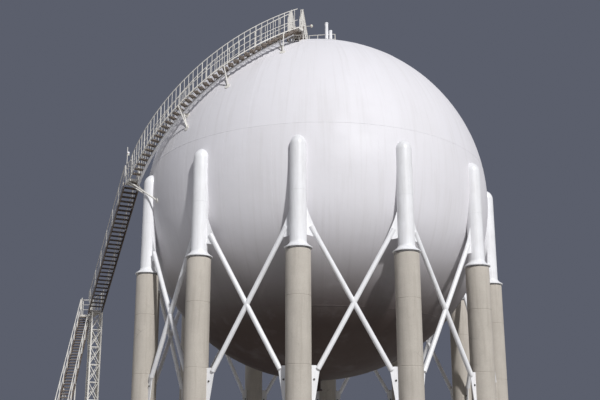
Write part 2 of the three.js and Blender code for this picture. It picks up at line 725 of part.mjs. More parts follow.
/** The platform on the crown with its railing, its short legs and the hatch round the manway. */
function crownPlatform() {
  const { left, right, front, back } = CROWN_PLATFORM;
  const plan = [
    [left, front],
    [right, front],
    [right, back],
    [left, back],
  ];
  const hatch = turned(
    [
      [0, CROWN_LEVEL - 2 * SLAB_THICKNESS],
      [MANWAY.hatch, CROWN_LEVEL - 2 * SLAB_THICKNESS],
      [MANWAY.hatch, CROWN_LEVEL + SLAB_THICKNESS],
      [0, CROWN_LEVEL + SLAB_THICKNESS],
    ],
    ROUND_SIDES,
  ).translate([...MANWAY.centre, 0]);
  const floor = slab(plan, CROWN_LEVEL).subtract(hatch);
  const legs = widened(plan, -FOOT_INSET).map((corner) =>
    post(corner, CENTRE_HEIGHT, CROWN_LEVEL - SLAB_THICKNESS / 2, 2 * STRUT_RADIUS),
  );
  const guard = guardLine(plan, CROWN_LEVEL);
  const gate = CROWN_FLIGHT.width / 2 + FOOT_INSET;
  const [rightEnd, leftEnd] = [gate, -gate].map((half) => guard[0].clone().setX(CROWN_FLIGHT.top[0] + half));
  const path = [rightEnd, guard[1], guard[2], guard[3], guard[0], leftEnd];
  return join([floor, ...legs, railing(path)]).subtract(SHELL_ROOM);
}

/** The manway on the crown: a neck with a bolted flange and cover. */
function manway() {
  const profile = [
    [0, CENTRE_HEIGHT],
    [MANWAY.neck, CENTRE_HEIGHT],
    [MANWAY.neck, MANWAY.top - MANWAY.flanges],
    [MANWAY.flange, MANWAY.top - MANWAY.flanges],
    [MANWAY.flange, MANWAY.top],
    [0, MANWAY.top],
  ];
  return turned(profile, ROUND_SIDES)
    .translate([...MANWAY.centre, 0])
    .subtract(SHELL_ROOM);
}

/** The two relief vents, side by side on one header. */
function reliefVents() {
  const stack = (top, at) => {
    const profile = [
      [0, CENTRE_HEIGHT],
      [VENTS.radius, CENTRE_HEIGHT],
      [VENTS.radius, top - VENT_COLLAR.height],
      [VENT_COLLAR.radius, top - VENT_COLLAR.height],
      [VENT_COLLAR.radius, top],
      [0, top],
    ];
    return turned(profile, ROUND_SIDES).translate([...at, 0]);
  };
  const [from, to] = [VENTS.tall, VENTS.short].map((at) => new THREE.Vector3(...at, VENT_HEADER.level));
  const header = bar(from, to, VENT_HEADER.radius, ROUND_SIDES);
  const stacks = [stack(VENTS.tallTop, VENTS.tall), stack(VENTS.shortTop, VENTS.short)];
  return join([...stacks, header]).subtract(SHELL_ROOM);
}

/** The outlet nozzle under the lowest point of the sphere. */
function bottomOutlet() {
  const profile = [
    [0, OUTLET.bottom],
    [OUTLET.flange, OUTLET.bottom],
    [OUTLET.flange, OUTLET.bottom + OUTLET.flangeThickness],
    [OUTLET.neck, OUTLET.bottom + OUTLET.flangeThickness],
    [OUTLET.neck, CENTRE_HEIGHT],
    [0, CENTRE_HEIGHT],
  ];
  return turned(profile, ROUND_SIDES).subtract(SHELL_ROOM);
}

const tank = new THREE.Group();

for (const zone of ZONES) tank.add(piece(zone.name, geometryOf(shellZone(zone)), WHITE_PAINT));

const legGeometry = geometryOf(upperLeg());
const casingGeometry = geometryOf(fireproofedLeg());
const braceGeometry = geometryOf(crossBrace());
for (let i = 0; i < LEG_COUNT; i++) {
  const number = String(i + 1).padStart(2, "0");
  tank.add(piece(`upper_leg_${number}`, legGeometry, PIPE_PAINT, i * LEG_SPACING));
  tank.add(piece(`fireproofed_leg_${number}`, casingGeometry, CASING_CONCRETE, i * LEG_SPACING));
  tank.add(piece(`x_brace_${number}`, braceGeometry, PIPE_PAINT, i * LEG_SPACING));
}

const equatorRoom = slabRoom(EQUATOR_LANDING, EQUATOR_LANDING_LEVEL);
const towerRoom = slabRoom(TOWER_LANDING, TOWER_LEVEL);
const latticePlan = widened(
  towerCorners().map((corner) => corner.toArray()),
  TOWER.post,
);
const latticeRoom = slabRoom(latticePlan, TOWER_LEVEL, TOWER.size);
const upperRooms = [equatorRoom, towerRoom, latticeRoom];
const lowerRooms = [towerRoom];
const crownSides = straightFlight(CROWN_FLIGHT, CROWN_LANDING_LEVEL, CROWN_LEVEL);
const crownRooms = [
  slabRoom(CROWN_LANDING, CROWN_LANDING_LEVEL),
  slabRoom(gangwayPlan(), CROWN_LEVEL),
  stringerRoom(sidePoints(crownSides, "left", 1)),
  stringerRoom(sidePoints(crownSides, "right", 1)),
];
const stairPieces = {
  curved_flight: curvedFlightSolid(),
  curved_outer_rail: curvedRail("right"),
  curved_inner_rail: curvedRail("left"),
  equator_landing: equatorLanding(),
  upper_flight: straightFlightSolid(UPPER_FLIGHT, TOWER_LEVEL, EQUATOR_LANDING_LEVEL, upperRooms),
  upper_outer_rail: straightRail(UPPER_FLIGHT, TOWER_LEVEL, EQUATOR_LANDING_LEVEL, "right", upperRooms),
  upper_inner_rail: straightRail(UPPER_FLIGHT, TOWER_LEVEL, EQUATOR_LANDING_LEVEL, "left", upperRooms),
  stair_tower: towerLattice(0),
  tower_landing: towerLanding(),
  lower_flight_foot: lowerFlightFoot(),
  lower_flight_head: lowerFlightHead(),
  lower_outer_rail: straightRail(LOWER_FLIGHT, 0, TOWER_LEVEL, "left", lowerRooms),
  lower_inner_rail: straightRail(LOWER_FLIGHT, 0, TOWER_LEVEL, "right", lowerRooms),
  crown_walkway: crownWalkway(),
  crown_outer_rail: crownRail("right", crownRooms),
  crown_inner_rail: crownRail("left", crownRooms),
  crown_platform: crownPlatform(),
};
for (const [name, solid] of Object.entries(stairPieces)) {
  tank.add(piece(name, geometryOf(solid), name.includes("flight") ? TREAD_STEEL : STAIR_PAINT));
}

tank.add(piece("top_manway", geometryOf(manway()), WHITE_PAINT));
tank.add(piece("relief_vents", geometryOf(reliefVents()), PIPE_PAINT));
tank.add(piece("bottom_outlet", geometryOf(bottomOutlet()), WHITE_PAINT));

// The origin is the middle of the footprint's box, on the ground.
const middle = new THREE.Box3().setFromObject(tank, true).getCenter(new THREE.Vector3());
tank.position.set(-middle.x, -middle.y, 0);
const root = new THREE.Group().add(tank);

export default root;
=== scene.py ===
"""The looks of a spherical gas tank on twelve braced legs, with the stair that climbs it to the crown.

Metres, +Z up, the ground at z 0. Shapes are made with the sphere's axis at x 0, y 0, and the workshop
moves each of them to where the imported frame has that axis.
"""

from __future__ import annotations

import logging
import math
from dataclasses import dataclass
from enum import Enum
from typing import ClassVar, Sequence

import bmesh
import bpy
from mathutils import Matrix, Vector
from mathutils.geometry import intersect_point_line

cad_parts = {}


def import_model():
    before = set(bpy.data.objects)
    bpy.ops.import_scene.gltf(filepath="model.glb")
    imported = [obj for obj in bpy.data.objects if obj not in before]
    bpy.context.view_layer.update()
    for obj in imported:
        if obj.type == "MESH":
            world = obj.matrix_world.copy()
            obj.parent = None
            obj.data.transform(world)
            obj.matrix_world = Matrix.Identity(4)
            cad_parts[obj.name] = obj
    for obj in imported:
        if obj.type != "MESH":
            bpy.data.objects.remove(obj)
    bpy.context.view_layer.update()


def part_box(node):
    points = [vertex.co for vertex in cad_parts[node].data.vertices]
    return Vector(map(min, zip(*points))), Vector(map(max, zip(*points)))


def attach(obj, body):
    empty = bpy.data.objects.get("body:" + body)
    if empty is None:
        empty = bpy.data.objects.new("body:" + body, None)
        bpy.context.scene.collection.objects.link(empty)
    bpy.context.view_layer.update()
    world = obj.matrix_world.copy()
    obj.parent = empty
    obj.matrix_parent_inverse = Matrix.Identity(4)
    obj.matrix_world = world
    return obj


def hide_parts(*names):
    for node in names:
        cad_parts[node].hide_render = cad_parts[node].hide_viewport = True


log = logging.getLogger("spherical_tank")

Point2 = tuple[float, float]
Outline = Sequence[Point2]
Tree = bpy.types.NodeTree
Socket = bpy.types.NodeSocket

BODY = "root"
UP = Vector((0.0, 0.0, 1.0))
EAST = Vector((1.0, 0.0, 0.0))

# The sphere's axis in the frame, its centre's height and its outer radius.
AXIS = Vector((2.6775, 0.0, 0.0))
CENTRE_HEIGHT = 15.26
SPHERE_RADIUS = 9.9

# Latitudes of the seams between the shell's zones, in degrees, and the petals of the two middle zones.
LOWER_SEAM = -43.5
UPPER_SEAM = 9.3
TOP_SEAM = 52.0
PETALS = 24

# Levels of the decks above the ground.
TOWER_LEVEL = 9.955
EQUATOR_LEVEL = 16.0
CROWN_LANDING_LEVEL = 23.65
CROWN_LEVEL = 25.36

LEG_COUNT = 12

# Pieces that meet keep this clearance, and struts reach this far into the shell.
CLEARANCE = 0.0003
ROOTING = 0.02

# The corners of a square, with half a side for a unit.
CORNERS = ((-1, -1), (1, -1), (1, 1), (-1, 1))

# A Mix node has several sockets of one name, so its colours go by number.
MIX_UNDER, MIX_OVER, MIX_RESULT = 6, 7, 2


class Slot(Enum):
    """The record's material slots."""

    SHELL = "white_paint"
    PIPE = "pipe_paint"
    CASING = "casing_concrete"
    STAIR = "stair_paint"
    TREAD = "stair_steel"


class Side(Enum):
    """The two sides of a flight, seen by someone who climbs it."""

    LEFT = -1
    RIGHT = 1


def linear(code: str) -> tuple[float, float, float, float]:
    """The linear red, green, blue and alpha of an sRGB colour of six hex digits after a hash."""
    channels = [int(code[i : i + 2], 16) / 255 for i in (1, 3, 5)]
    return *[c / 12.92 if c <= 0.04045 else ((c + 0.055) / 1.055) ** 2.4 for c in channels], 1.0


def add_node(
    tree: Tree,
    kind: str,
    settings: dict[str | int, object] | None = None,
    links: dict[str | int, Socket] | None = None,
) -> bpy.types.Node:
    """Adds a node with its settings and links.

    Args:
        tree: The tree that the node joins.
        kind: Blender's name for the kind of node.
        settings: Values by property name, or by an input's name or number.
        links: The sockets that feed inputs, by the input's name or number.

    Returns:
        The new node.
    """
    node = tree.nodes.new(kind)
    for key, value in (settings or {}).items():
        if isinstance(key, str) and hasattr(node, key):
            setattr(node, key, value)
        else:
            node.inputs[key].default_value = value
    for key, socket in (links or {}).items():
        tree.links.new(socket, node.inputs[key])
    return node


def add_object(name: str, data: bpy.types.ID) -> bpy.types.Object:
    """Adds an object to the scene.

    Args:
        name: Its name.
        data: Its mesh, lamp or camera.

    Returns:
        The new object.
    """
    made = bpy.data.objects.new(name, data)
    bpy.context.scene.collection.objects.link(made)
    return made


def around(azimuth: float, distance: float, height: float) -> Vector:
    """The point at an azimuth in degrees from -Y towards +X, a distance from the axis and a height."""
    angle = math.radians(azimuth)
    return Vector((distance * math.sin(angle), -distance * math.cos(angle), height))


def on_sphere(azimuth: float, latitude: float, radius: float = SPHERE_RADIUS) -> Vector:
    """The point of the sphere of a radius at an azimuth and a latitude in degrees."""
    tilt = math.radians(latitude)
    return around(azimuth, radius * math.cos(tilt), CENTRE_HEIGHT + radius * math.sin(tilt))


def bearing(point: Vector) -> tuple[float, float]:
    """The azimuth and latitude of a point, in degrees, seen from the sphere's centre."""
    tilt = math.atan2(point.z - CENTRE_HEIGHT, math.hypot(point.x, point.y))
    return math.degrees(math.atan2(point.x, -point.y)), math.degrees(tilt)


def outward(point: Vector) -> Vector:
    """The direction from the sphere's centre to a point."""
    return (point - UP * CENTRE_HEIGHT).normalized()


def shell_height(x: float, y: float) -> float:
    """The height of the sphere's upper face over a point of the plan."""
    return CENTRE_HEIGHT + math.sqrt(SPHERE_RADIUS**2 - x**2 - y**2)


def bezier(controls: Sequence[float], share: float) -> float:
    """The value at a share of a Bezier curve.

    Args:
        controls: The curve's controls, as plain numbers.
        share: The share of the way along it.

    Returns:
        The value there.
    """
    row = list(controls)
    while len(row) > 1:
        row = [a + (b - a) * share for a, b in zip(row, row[1:])]
    return row[0]


def mix(low: float, high: float, share: float) -> float:
    """The number at a share of the way from one to another."""
    return low + (high - low) * share


def widened(plan: Outline, distance: float) -> list[Point2]:
    """Moves each edge of an outline outwards.

    Args:
        plan: The corners in order.
        distance: How far each edge moves, inwards where it is negative.

    Returns:
        The new corners.
    """
    points = [Vector(corner) for corner in plan]
    area = sum(a.x * b.y - b.x * a.y for a, b in zip(points, points[1:] + points[:1]))
    outwards = distance if area > 0 else -distance
    edges = [(b - a).normalized() for a, b in zip(points, points[1:] + points[:1])]
    normals = [Vector((edge.y, -edge.x)) for edge in edges]
    moved = []
    for i, point in enumerate(points):
        before, after = normals[i - 1], normals[i]
        moved.append(tuple(point + (before + after) * outwards / (1 + before.dot(after))))
    return moved


def raised(profile: Outline, level: float) -> list[Point2]:
    """A profile of radius and height pairs, lifted by a level."""
    return [(radius, level + height) for radius, height in profile]


def square(centre: Vector, width: float, along: Vector) -> list[Point2]:
    """The plan of a square plate round a point, with two of its sides along a direction."""
    half = along.to_2d().normalized() * width / 2
    return [tuple(centre.to_2d() + half * a + half.orthogonal() * b) for a, b in CORNERS]


def rounded(path: Sequence[Vector], radius: float, steps: int = 5) -> list[Vector]:
    """Bends a pipe's path at its corners, as a pipe bender leaves it.

    Args:
        path: The corners of the path.
        radius: How far from a corner its bend begins.
        steps: The stretches in each bend.

    Returns:
        The path with a short curve for each inner corner.
    """
    bent = [path[0]]
    for before, corner, after in zip(path, path[1:], path[2:]):
        reach = min(radius, (before - corner).length / 2.1, (after - corner).length / 2.1)
        start = corner + (before - corner).normalized() * reach
        end = corner + (after - corner).normalized() * reach
        for i in range(steps + 1):
            share = i / steps
            bent.append(start.lerp(corner, share).lerp(corner.lerp(end, share), share))
    bent.append(path[-1])
    return bent


def spaced(path: Sequence[Vector], span: float) -> list[Vector]:
    """Points along a path with straight stretches, corners among them.

    Args:
        path: The corners of the path.
        span: The widest room between two points.

    Returns:
        The points.
    """
    points = [path[0]]
    for start, end in zip(path, path[1:]):
        parts = max(1, math.ceil((end - start).length / span))
        points += [start.lerp(end, i / parts) for i in range(1, parts + 1)]
    return points


def crossings(plan: Outline, heading: Vector, spacing: float) -> list[tuple[Vector, Vector]]:
    """The stretches of evenly spaced parallel lines that lie inside an outline.

    Args:
        plan: The outline's corners.
        heading: The direction of the lines in plan.
        spacing: The distance between two lines.

    Returns:
        The two ends of each stretch, at height 0.
    """
    along = Vector((heading.x, heading.y)).normalized()
    across = Vector((along.y, -along.x))
    points = [Vector(corner) for corner in plan]
    offsets = [point.dot(across) for point in points]
    count = max(1, round((max(offsets) - min(offsets)) / spacing))
    found = []
    for i in range(count):
        offset = mix(min(offsets), max(offsets), (i + 0.5) / count)
        cuts = []
        for a, b in zip(points, points[1:] + points[:1]):
            low, high = a.dot(across) - offset, b.dot(across) - offset
            if low * high < 0:
                cuts.append(a.lerp(b, low / (low - high)))
        cuts.sort(key=along.dot)
        found += [(a.to_3d(), b.to_3d()) for a, b in zip(cuts[::2], cuts[1::2])]
    return found


def soften(shape: bmesh.types.BMesh, sharp: float) -> None:
    """Shades faces smooth, apart from sharp edges.

    Args:
        shape: The mesh under construction.
        sharp: The angle in degrees from which two faces meet in an edge.
    """
    limit = math.radians(sharp)
    for face in shape.faces:
        face.smooth = True
    for edge in shape.edges:
        edge.smooth = len(edge.link_faces) == 2 and edge.calc_face_angle(0.0) < limit


# Finishes


@dataclass(frozen=True)
class Canvas:
    """What a finish is painted on: a material's tree, its Object coordinates and its shader."""

    tree: Tree
    place: Socket
    shader: bpy.types.Node

    def blotches(
        self,
        size: float,
        low: float,
        high: float,
        stretch: tuple[float, float, float] = (1.0, 1.0, 1.0),
    ) -> Socket:
        """A soft random pattern that is 0 below one level of the noise and 1 above another.

        Args:
            size: The size of a blotch in metres.
            low: The noise level that gives 0.
            high: The noise level that gives 1.
            stretch: How much closer together blotches lie along each axis.

        Returns:
            The pattern, from 0 to 1.
        """
        mapped = add_node(self.tree, "ShaderNodeMapping", {"Scale": stretch}, {"Vector": self.place})
        noise = {"Scale": 1 / size, "Detail": 5.0, "Roughness": 0.6}
        texture = add_node(self.tree, "ShaderNodeTexNoise", noise, {"Vector": mapped.outputs["Vector"]})
        ramp = {"From Min": low, "From Max": high}
        ramped = add_node(self.tree, "ShaderNodeMapRange", ramp, {"Value": texture.outputs["Fac"]})
        return ramped.outputs["Result"]

    def stain(self, colour: str, share: Socket, strength: float) -> None:
        """Lays a colour over what is painted already, where a pattern says so.

        Args:
            colour: The colour, as hex digits.
            share: The pattern, from 0 to 1.
            strength: How much of the colour shows where the pattern is 1.
        """
        faded = add_node(self.tree, "ShaderNodeMath", {"operation": "MULTIPLY", 1: strength}, {0: share})
        base = self.shader.inputs["Base Color"]
        colours = {MIX_UNDER: base.default_value, MIX_OVER: linear(colour)}
        links = {0: faded.outputs["Value"], **{MIX_UNDER: link.from_socket for link in base.links}}
        mixed = add_node(self.tree, "ShaderNodeMix", {"data_type": "RGBA", **colours}, links)
        self.tree.links.new(mixed.outputs[MIX_RESULT], base)

    def gloss(self, share: Socket, low: float, high: float) -> None:
        """Gives the shader a roughness that follows a pattern from one value to another."""
        ranged = add_node(self.tree, "ShaderNodeMapRange", {"To Min": low, "To Max": high}, {"Value": share})
        self.tree.links.new(ranged.outputs["Result"], self.shader.inputs["Roughness"])

    def grain(self, height: Socket, depth: float, strength: float) -> None:
        """Raises the surface by a pattern, on top of what raises it already.

        Args:
            height: The pattern, from 0 to 1.
            depth: What 1 stands for, in metres.
            strength: How much of the bending is kept.
        """
        normal = self.shader.inputs["Normal"]
        links = {"Height": height, **{"Normal": link.from_socket for link in normal.links}}
        bump = add_node(self.tree, "ShaderNodeBump", {"Distance": depth, "Strength": strength}, links)
        self.tree.links.new(bump.outputs["Normal"], normal)


@dataclass(frozen=True)
class Finish:
    """What every finish has: its name, its main colour and its shader's own values."""

    name: str
    colour: str
    roughness: float
    metallic: float = 0.0

    def material(self) -> bpy.types.Material:
        """Makes the finish's material, or finds it where it is made already.

        Returns:
            The material, with its pattern on Object coordinates.
        """
        made = bpy.data.materials.get(self.name)
        if made is not None:
            return made
        made = bpy.data.materials.new(self.name)
        made.use_nodes = True
        tree = made.node_tree
        tree.nodes.clear()
        place = add_node(tree, "ShaderNodeTexCoord").outputs["Object"]
        values = {"Metallic": self.metallic, "Roughness": self.roughness, "Base Color": linear(self.colour)}
        shader = add_node(tree, "ShaderNodeBsdfPrincipled", values)
        self.dress(Canvas(tree, place, shader))
        add_node(tree, "ShaderNodeOutputMaterial", links={"Surface": shader.outputs["BSDF"]})
        return made

    def dress(self, canvas: Canvas) -> None:
        """Paints the finish's pattern."""
        raise NotImplementedError


@dataclass(frozen=True)
class WeldedPlatePaint(Finish):
    """White polyurethane rolled over welded plate.

    To the eye: petals that differ a little in tint, faint dusty runs down the sides, a slightly uneven
    sheen, the slow waves that welding leaves in plate and a belly darkened by painted shade.
    """

    dust: str = "#B4AFAA"
    # The colour and the heights of the painted shade that darkens the belly.
    belly_shade: str = "#372014"
    shade_starts: float = -1.8
    shade_full: float = -7.8

    def dress(self, canvas: Canvas) -> None:
        """Paints petals, runs, painted shade under the belly and the waves of the plate.

        Args:
            canvas: What it paints.
        """
        tree = canvas.tree
        centre = (-AXIS.x, -AXIS.y, -CENTRE_HEIGHT)
        moved = add_node(tree, "ShaderNodeMapping", {"Location": centre}, {"Vector": canvas.place})
        centred = Canvas(tree, moved.outputs["Vector"], canvas.shader)
        axes = add_node(tree, "ShaderNodeSeparateXYZ", links={"Vector": centred.place}).outputs
        flat = {0: axes["Y"], 1: axes["X"]}
        angle = add_node(tree, "ShaderNodeMath", {"operation": "ARCTAN2"}, flat).outputs[0]
        turns = {"operation": "MULTIPLY", 1: PETALS / math.tau}
        petal = add_node(tree, "ShaderNodeMath", turns, {0: angle}).outputs[0]
        number = add_node(tree, "ShaderNodeMath", {"operation": "FLOOR"}, {0: petal}).outputs[0]
        seam = {"operation": "GREATER_THAN", 1: SPHERE_RADIUS * math.sin(math.radians(UPPER_SEAM))}
        zone = add_node(tree, "ShaderNodeMath", seam, {0: axes["Z"]}).outputs[0]
        cell = add_node(tree, "ShaderNodeCombineXYZ", links={"X": number, "Y": zone}).outputs[0]
        noise = {"noise_dimensions": "3D"}
        chance = add_node(tree, "ShaderNodeTexWhiteNoise", noise, {"Vector": cell}).outputs[0]
        canvas.stain(self.dust, chance, 0.07)

        # Runs are 0.25 m wide and some metres long: real ones are a few centimetres wide, too fine to show.
        arc = {"operation": "MULTIPLY", 1: SPHERE_RADIUS}
        swept = add_node(tree, "ShaderNodeMath", arc, {0: angle}).outputs[0]
        unrolled = add_node(tree, "ShaderNodeCombineXYZ", links={"X": swept, "Z": axes["Z"]}).outputs[0]
        runs = Canvas(tree, unrolled, canvas.shader).blotches(0.25, 0.5, 0.8, (1.0, 1.0, 0.06))
        canvas.stain(self.dust, runs, 0.22)
        clouds = centred.blotches(2.5, 0.35, 0.75)
        canvas.stain(self.dust, clouds, 0.10)

        # Painted shade: below the belly the paint is darkened in blotches almost to black-brown, standing in
        # for the shade under the sphere.
        fall = {"From Min": self.shade_starts, "From Max": self.shade_full}
        smooth = {"interpolation_type": "SMOOTHSTEP", **fall}
        belly = add_node(tree, "ShaderNodeMapRange", smooth, {"Value": axes["Z"]})
        coat = centred.blotches(1.6, -2.0, 0.45)
        both = {"operation": "MULTIPLY"}
        shaded_belly = add_node(tree, "ShaderNodeMath", both, {0: belly.outputs["Result"], 1: coat}).outputs[0]
        canvas.stain(self.belly_shade, shaded_belly, 0.97)

        canvas.gloss(clouds, self.roughness - 0.06, self.roughness + 0.12)
        canvas.grain(centred.blotches(1.6, 0.2, 0.8), 0.03, 0.35)
        # Roller stipple is drawn 30 mm wide instead of 3 mm.
        canvas.grain(centred.blotches(0.03, 0.3, 0.7), 0.0006, 0.3)


@dataclass(frozen=True)
class EnamelledPipe(Finish):
    """Alkyd enamel brushed on rolled pipe and cut plate.

    To the eye: a bright white with soft vertical brush runs, thin dust and small rusty chips.
    """

    dust: str = "#A7A29B"
    rust: str = "#7A4A2E"

    def dress(self, canvas: Canvas) -> None:
        """Paints brush runs, dust and chips.

        Args:
            canvas: What it paints.
        """
        # Brush runs are drawn 80 mm wide instead of 8 mm.
        runs = canvas.blotches(0.08, 0.45, 0.85, (1.0, 1.0, 0.08))
        canvas.stain(self.dust, runs, 0.28)
        canvas.stain(self.dust, canvas.blotches(0.7, 0.4, 0.8), 0.14)
        canvas.stain(self.rust, canvas.blotches(0.12, 0.74, 0.78), 0.6)
        canvas.gloss(runs, self.roughness, self.roughness + 0.2)
        canvas.grain(runs, 0.0015, 0.4)


@dataclass(frozen=True)
class SprayedFireproofing(Finish):
    """Sprayed cement fireproofing, trowelled and left bare.

    To the eye: a warm matt grey with sand grain, trowel patches, fine shrinkage cracks, damp runs down
    the sides and a darker foot.
    """

    damp: str = "#8B8276"
    pale: str = "#D0C9BE"
    crack: str = "#6C645A"
    crack_plate: float = 1.4
    splash_height: float = 1.1

    def dress(self, canvas: Canvas) -> None:
        """Paints patches, runs, cracks, the splashed foot and the grain.

        Args:
            canvas: What it paints.
        """
        tree, place = canvas.tree, canvas.place
        patches = canvas.blotches(0.9, 0.35, 0.7)
        canvas.stain(self.pale, patches, 0.35)
        canvas.stain(self.damp, canvas.blotches(0.16, 0.5, 0.8, (1.0, 1.0, 0.07)), 0.38)
        canvas.stain(self.damp, canvas.blotches(0.05, 0.45, 0.75), 0.2)

        # Cracks run round plates of the drying skin, and only where a second pattern lets them open.
        wander = add_node(tree, "ShaderNodeTexNoise", {"Scale": 2.5, "Detail": 4.0}, {"Vector": place})
        bent = {"operation": "MULTIPLY_ADD", 1: (0.5, 0.5, 0.5)}
        ways = {0: wander.outputs["Color"], 2: place}
        shifted = add_node(tree, "ShaderNodeVectorMath", bent, ways).outputs[0]
        cells = {"feature": "DISTANCE_TO_EDGE", "Scale": 1 / self.crack_plate}
        edges = add_node(tree, "ShaderNodeTexVoronoi", cells, {"Vector": shifted}).outputs["Distance"]
        thin = {"From Min": 0.012, "From Max": 0.0}
        lines = add_node(tree, "ShaderNodeMapRange", thin, {"Value": edges}).outputs["Result"]
        open_part = canvas.blotches(1.2, 0.54, 0.66)
        both = {"operation": "MULTIPLY"}
        cracks = add_node(tree, "ShaderNodeMath", both, {0: lines, 1: open_part}).outputs[0]
        canvas.stain(self.crack, cracks, 0.4)

        height = add_node(tree, "ShaderNodeSeparateXYZ", links={"Vector": place}).outputs["Z"]
        fall = {"From Min": self.splash_height, "From Max": 0.1}
        splash = add_node(tree, "ShaderNodeMapRange", fall, {"Value": height}).outputs["Result"]
        canvas.stain(self.damp, splash, 0.55)

        canvas.grain(patches, 0.012, 0.5)
        # Sand grain of about 3 mm is drawn 25 mm wide.
        canvas.grain(canvas.blotches(0.025, 0.25, 0.75), 0.003, 0.5)


@dataclass(frozen=True)
class WornStairPaint(Finish):
    """Off-white paint on rolled sections that hands, boots and rain have worn.

    To the eye: a warm off-white with grey dust on it and rust at the chips.
    """

    dust: str = "#9C948B"
    rust: str = "#73492F"

    def dress(self, canvas: Canvas) -> None:
        """Paints dust and rusty chips.

        Args:
            canvas: What it paints.
        """
        clouds = canvas.blotches(0.5, 0.35, 0.75)
        canvas.stain(self.dust, clouds, 0.26)
        canvas.stain(self.dust, canvas.blotches(0.06, 0.5, 0.8, (1.0, 1.0, 0.15)), 0.3)
        chips = canvas.blotches(0.09, 0.66, 0.7)
        canvas.stain(self.rust, chips, 0.7)
        canvas.gloss(clouds, self.roughness, self.roughness + 0.3)
        canvas.grain(chips, 0.001, 0.5)


@dataclass(frozen=True)
class ChequeredSteel(Finish):
    """Chequered steel plate, weathered to a brown grey.

    To the eye: a dull brown grey, raised studs in rows, paler where boots polish it and rust at the edges.
    """

    rust: str = "#6B442C"
    bare: str = "#A39C93"
    stud_spacing: float = 0.04

    def dress(self, canvas: Canvas) -> None:
        """Paints wear and rust, and raises the studs.

        Args:
            canvas: What it paints.
        """
        canvas.stain(self.bare, canvas.blotches(0.3, 0.4, 0.7), 0.4)
        rusty = canvas.blotches(0.18, 0.5, 0.7)
        canvas.stain(self.rust, rusty, 0.5)
        canvas.gloss(rusty, self.roughness - 0.15, self.roughness + 0.1)
        # Studs stand their real distance apart and are drawn as round ones.
        rows = {"Scale": 1 / self.stud_spacing, "Randomness": 0.0}
        studs = add_node(canvas.tree, "ShaderNodeTexVoronoi", rows, {"Vector": canvas.place})
        rise = {"From Min": 0.35, "From Max": 0.25}
        domes = add_node(canvas.tree, "ShaderNodeMapRange", rise, {"Value": studs.outputs["Distance"]})
        canvas.grain(domes.outputs["Result"], 0.002, 0.7)


@dataclass(frozen=True)
class GalvanisedSteel(Finish):
    """Hot-dip galvanised steel of bolts, nuts and clamps.

    To the eye: a matt silver grey with patches of zinc crystals and white bloom.
    """

    bloom: str = "#C9CBCB"

    def dress(self, canvas: Canvas) -> None:
        """Paints the zinc crystals and the bloom.

        Args:
            canvas: What it paints.
        """
        # Zinc crystals of about 10 mm are drawn 20 mm wide.
        cells = add_node(canvas.tree, "ShaderNodeTexVoronoi", {"Scale": 50.0}, {"Vector": canvas.place})
        links = {"Vector": cells.outputs["Color"]}
        shade = add_node(canvas.tree, "ShaderNodeSeparateXYZ", links=links).outputs["X"]
        canvas.stain(self.bloom, shade, 0.45)
        canvas.stain(self.bloom, canvas.blotches(0.08, 0.5, 0.7), 0.4)
        canvas.gloss(shade, self.roughness, self.roughness + 0.2)


@dataclass(frozen=True)
class DarkCoating(Finish):
    """Polysulphide mastic pressed into joints, and bitumen brushed over bolts.

    To the eye: a dark, dull and rubbery skin with a dusty bloom.
    """

    dust: str = "#7D766E"

    def dress(self, canvas: Canvas) -> None:
        """Paints the dust and the tooling marks."""
        canvas.stain(self.dust, canvas.blotches(0.15, 0.4, 0.75), 0.5)
        canvas.grain(canvas.blotches(0.03, 0.3, 0.7), 0.001, 0.5)


@dataclass(frozen=True)
class OpalGlass(Finish):
    """Blown opal glass of a lamp's globe.

    To the eye: a milky white with a hard gloss and a film of dust on top.
    """

    dust: str = "#B7AEA2"

    def dress(self, canvas: Canvas) -> None:
        """Gives the glass its milky depth and paints the film of dust.

        Args:
            canvas: What it paints.
        """
        for name, value in (("IOR", 1.52), ("Subsurface Weight", 0.3), ("Subsurface Scale", 0.02)):
            canvas.shader.inputs[name].default_value = value
        film = canvas.blotches(0.06, 0.45, 0.75)
        canvas.stain(self.dust, film, 0.4)
        canvas.gloss(film, self.roughness, 0.4)


@dataclass(frozen=True)
class FloatedFloor(Finish):
    """Power-floated pale screed of a studio floor.

    To the eye: an even pale grey with hardly visible clouds.
    """

    cloud: str = "#B9B8B5"

    def dress(self, canvas: Canvas) -> None:
        """Paints the clouds."""
        canvas.stain(self.cloud, canvas.blotches(6.0, 0.3, 0.7), 0.3)


SHELL_PAINT = WeldedPlatePaint("white_polyurethane_on_welded_plate", "#E8E6EA", 0.58)
PIPE_ENAMEL = EnamelledPipe("white_alkyd_enamel_on_pipe", "#F1F1F3", 0.36)
FIREPROOFING = SprayedFireproofing("sprayed_cement_fireproofing", "#B9B2A8", 0.92)
STAIR_PAINT = WornStairPaint("worn_off_white_stair_paint", "#E9E6DF", 0.46)
# Painted light: the first tread steel is weathered steel darkened further as painted shade, for the
# undersides of flights and decks. The second is the same steel made lighter as painted light, where the
# curved flight's treads catch the sun; on the nosings its paleness is also boot polish.
SHADED_TREAD_STEEL = ChequeredSteel("weathered_shaded_chequered_steel", "#5C5047", 0.74, 0.25)
LIT_POLISHED_STEEL = ChequeredSteel("sunlit_boot_polished_chequered_steel", "#A0968B", 0.55, 0.25)
ZINC = GalvanisedSteel("galvanised_fastener_steel", "#8F9192", 0.45, 0.9)
MASTIC = DarkCoating("dark_joint_mastic", "#3A3632", 0.85)
BITUMEN = DarkCoating("bitumen_on_bolts", "#2B2826", 0.6)
OPAL = OpalGlass("opal_lamp_glass", "#ECE7DC", 0.12)
FLOOR = FloatedFloor("pale_floated_screed", "#B5B3AF", 0.8)


# Growing


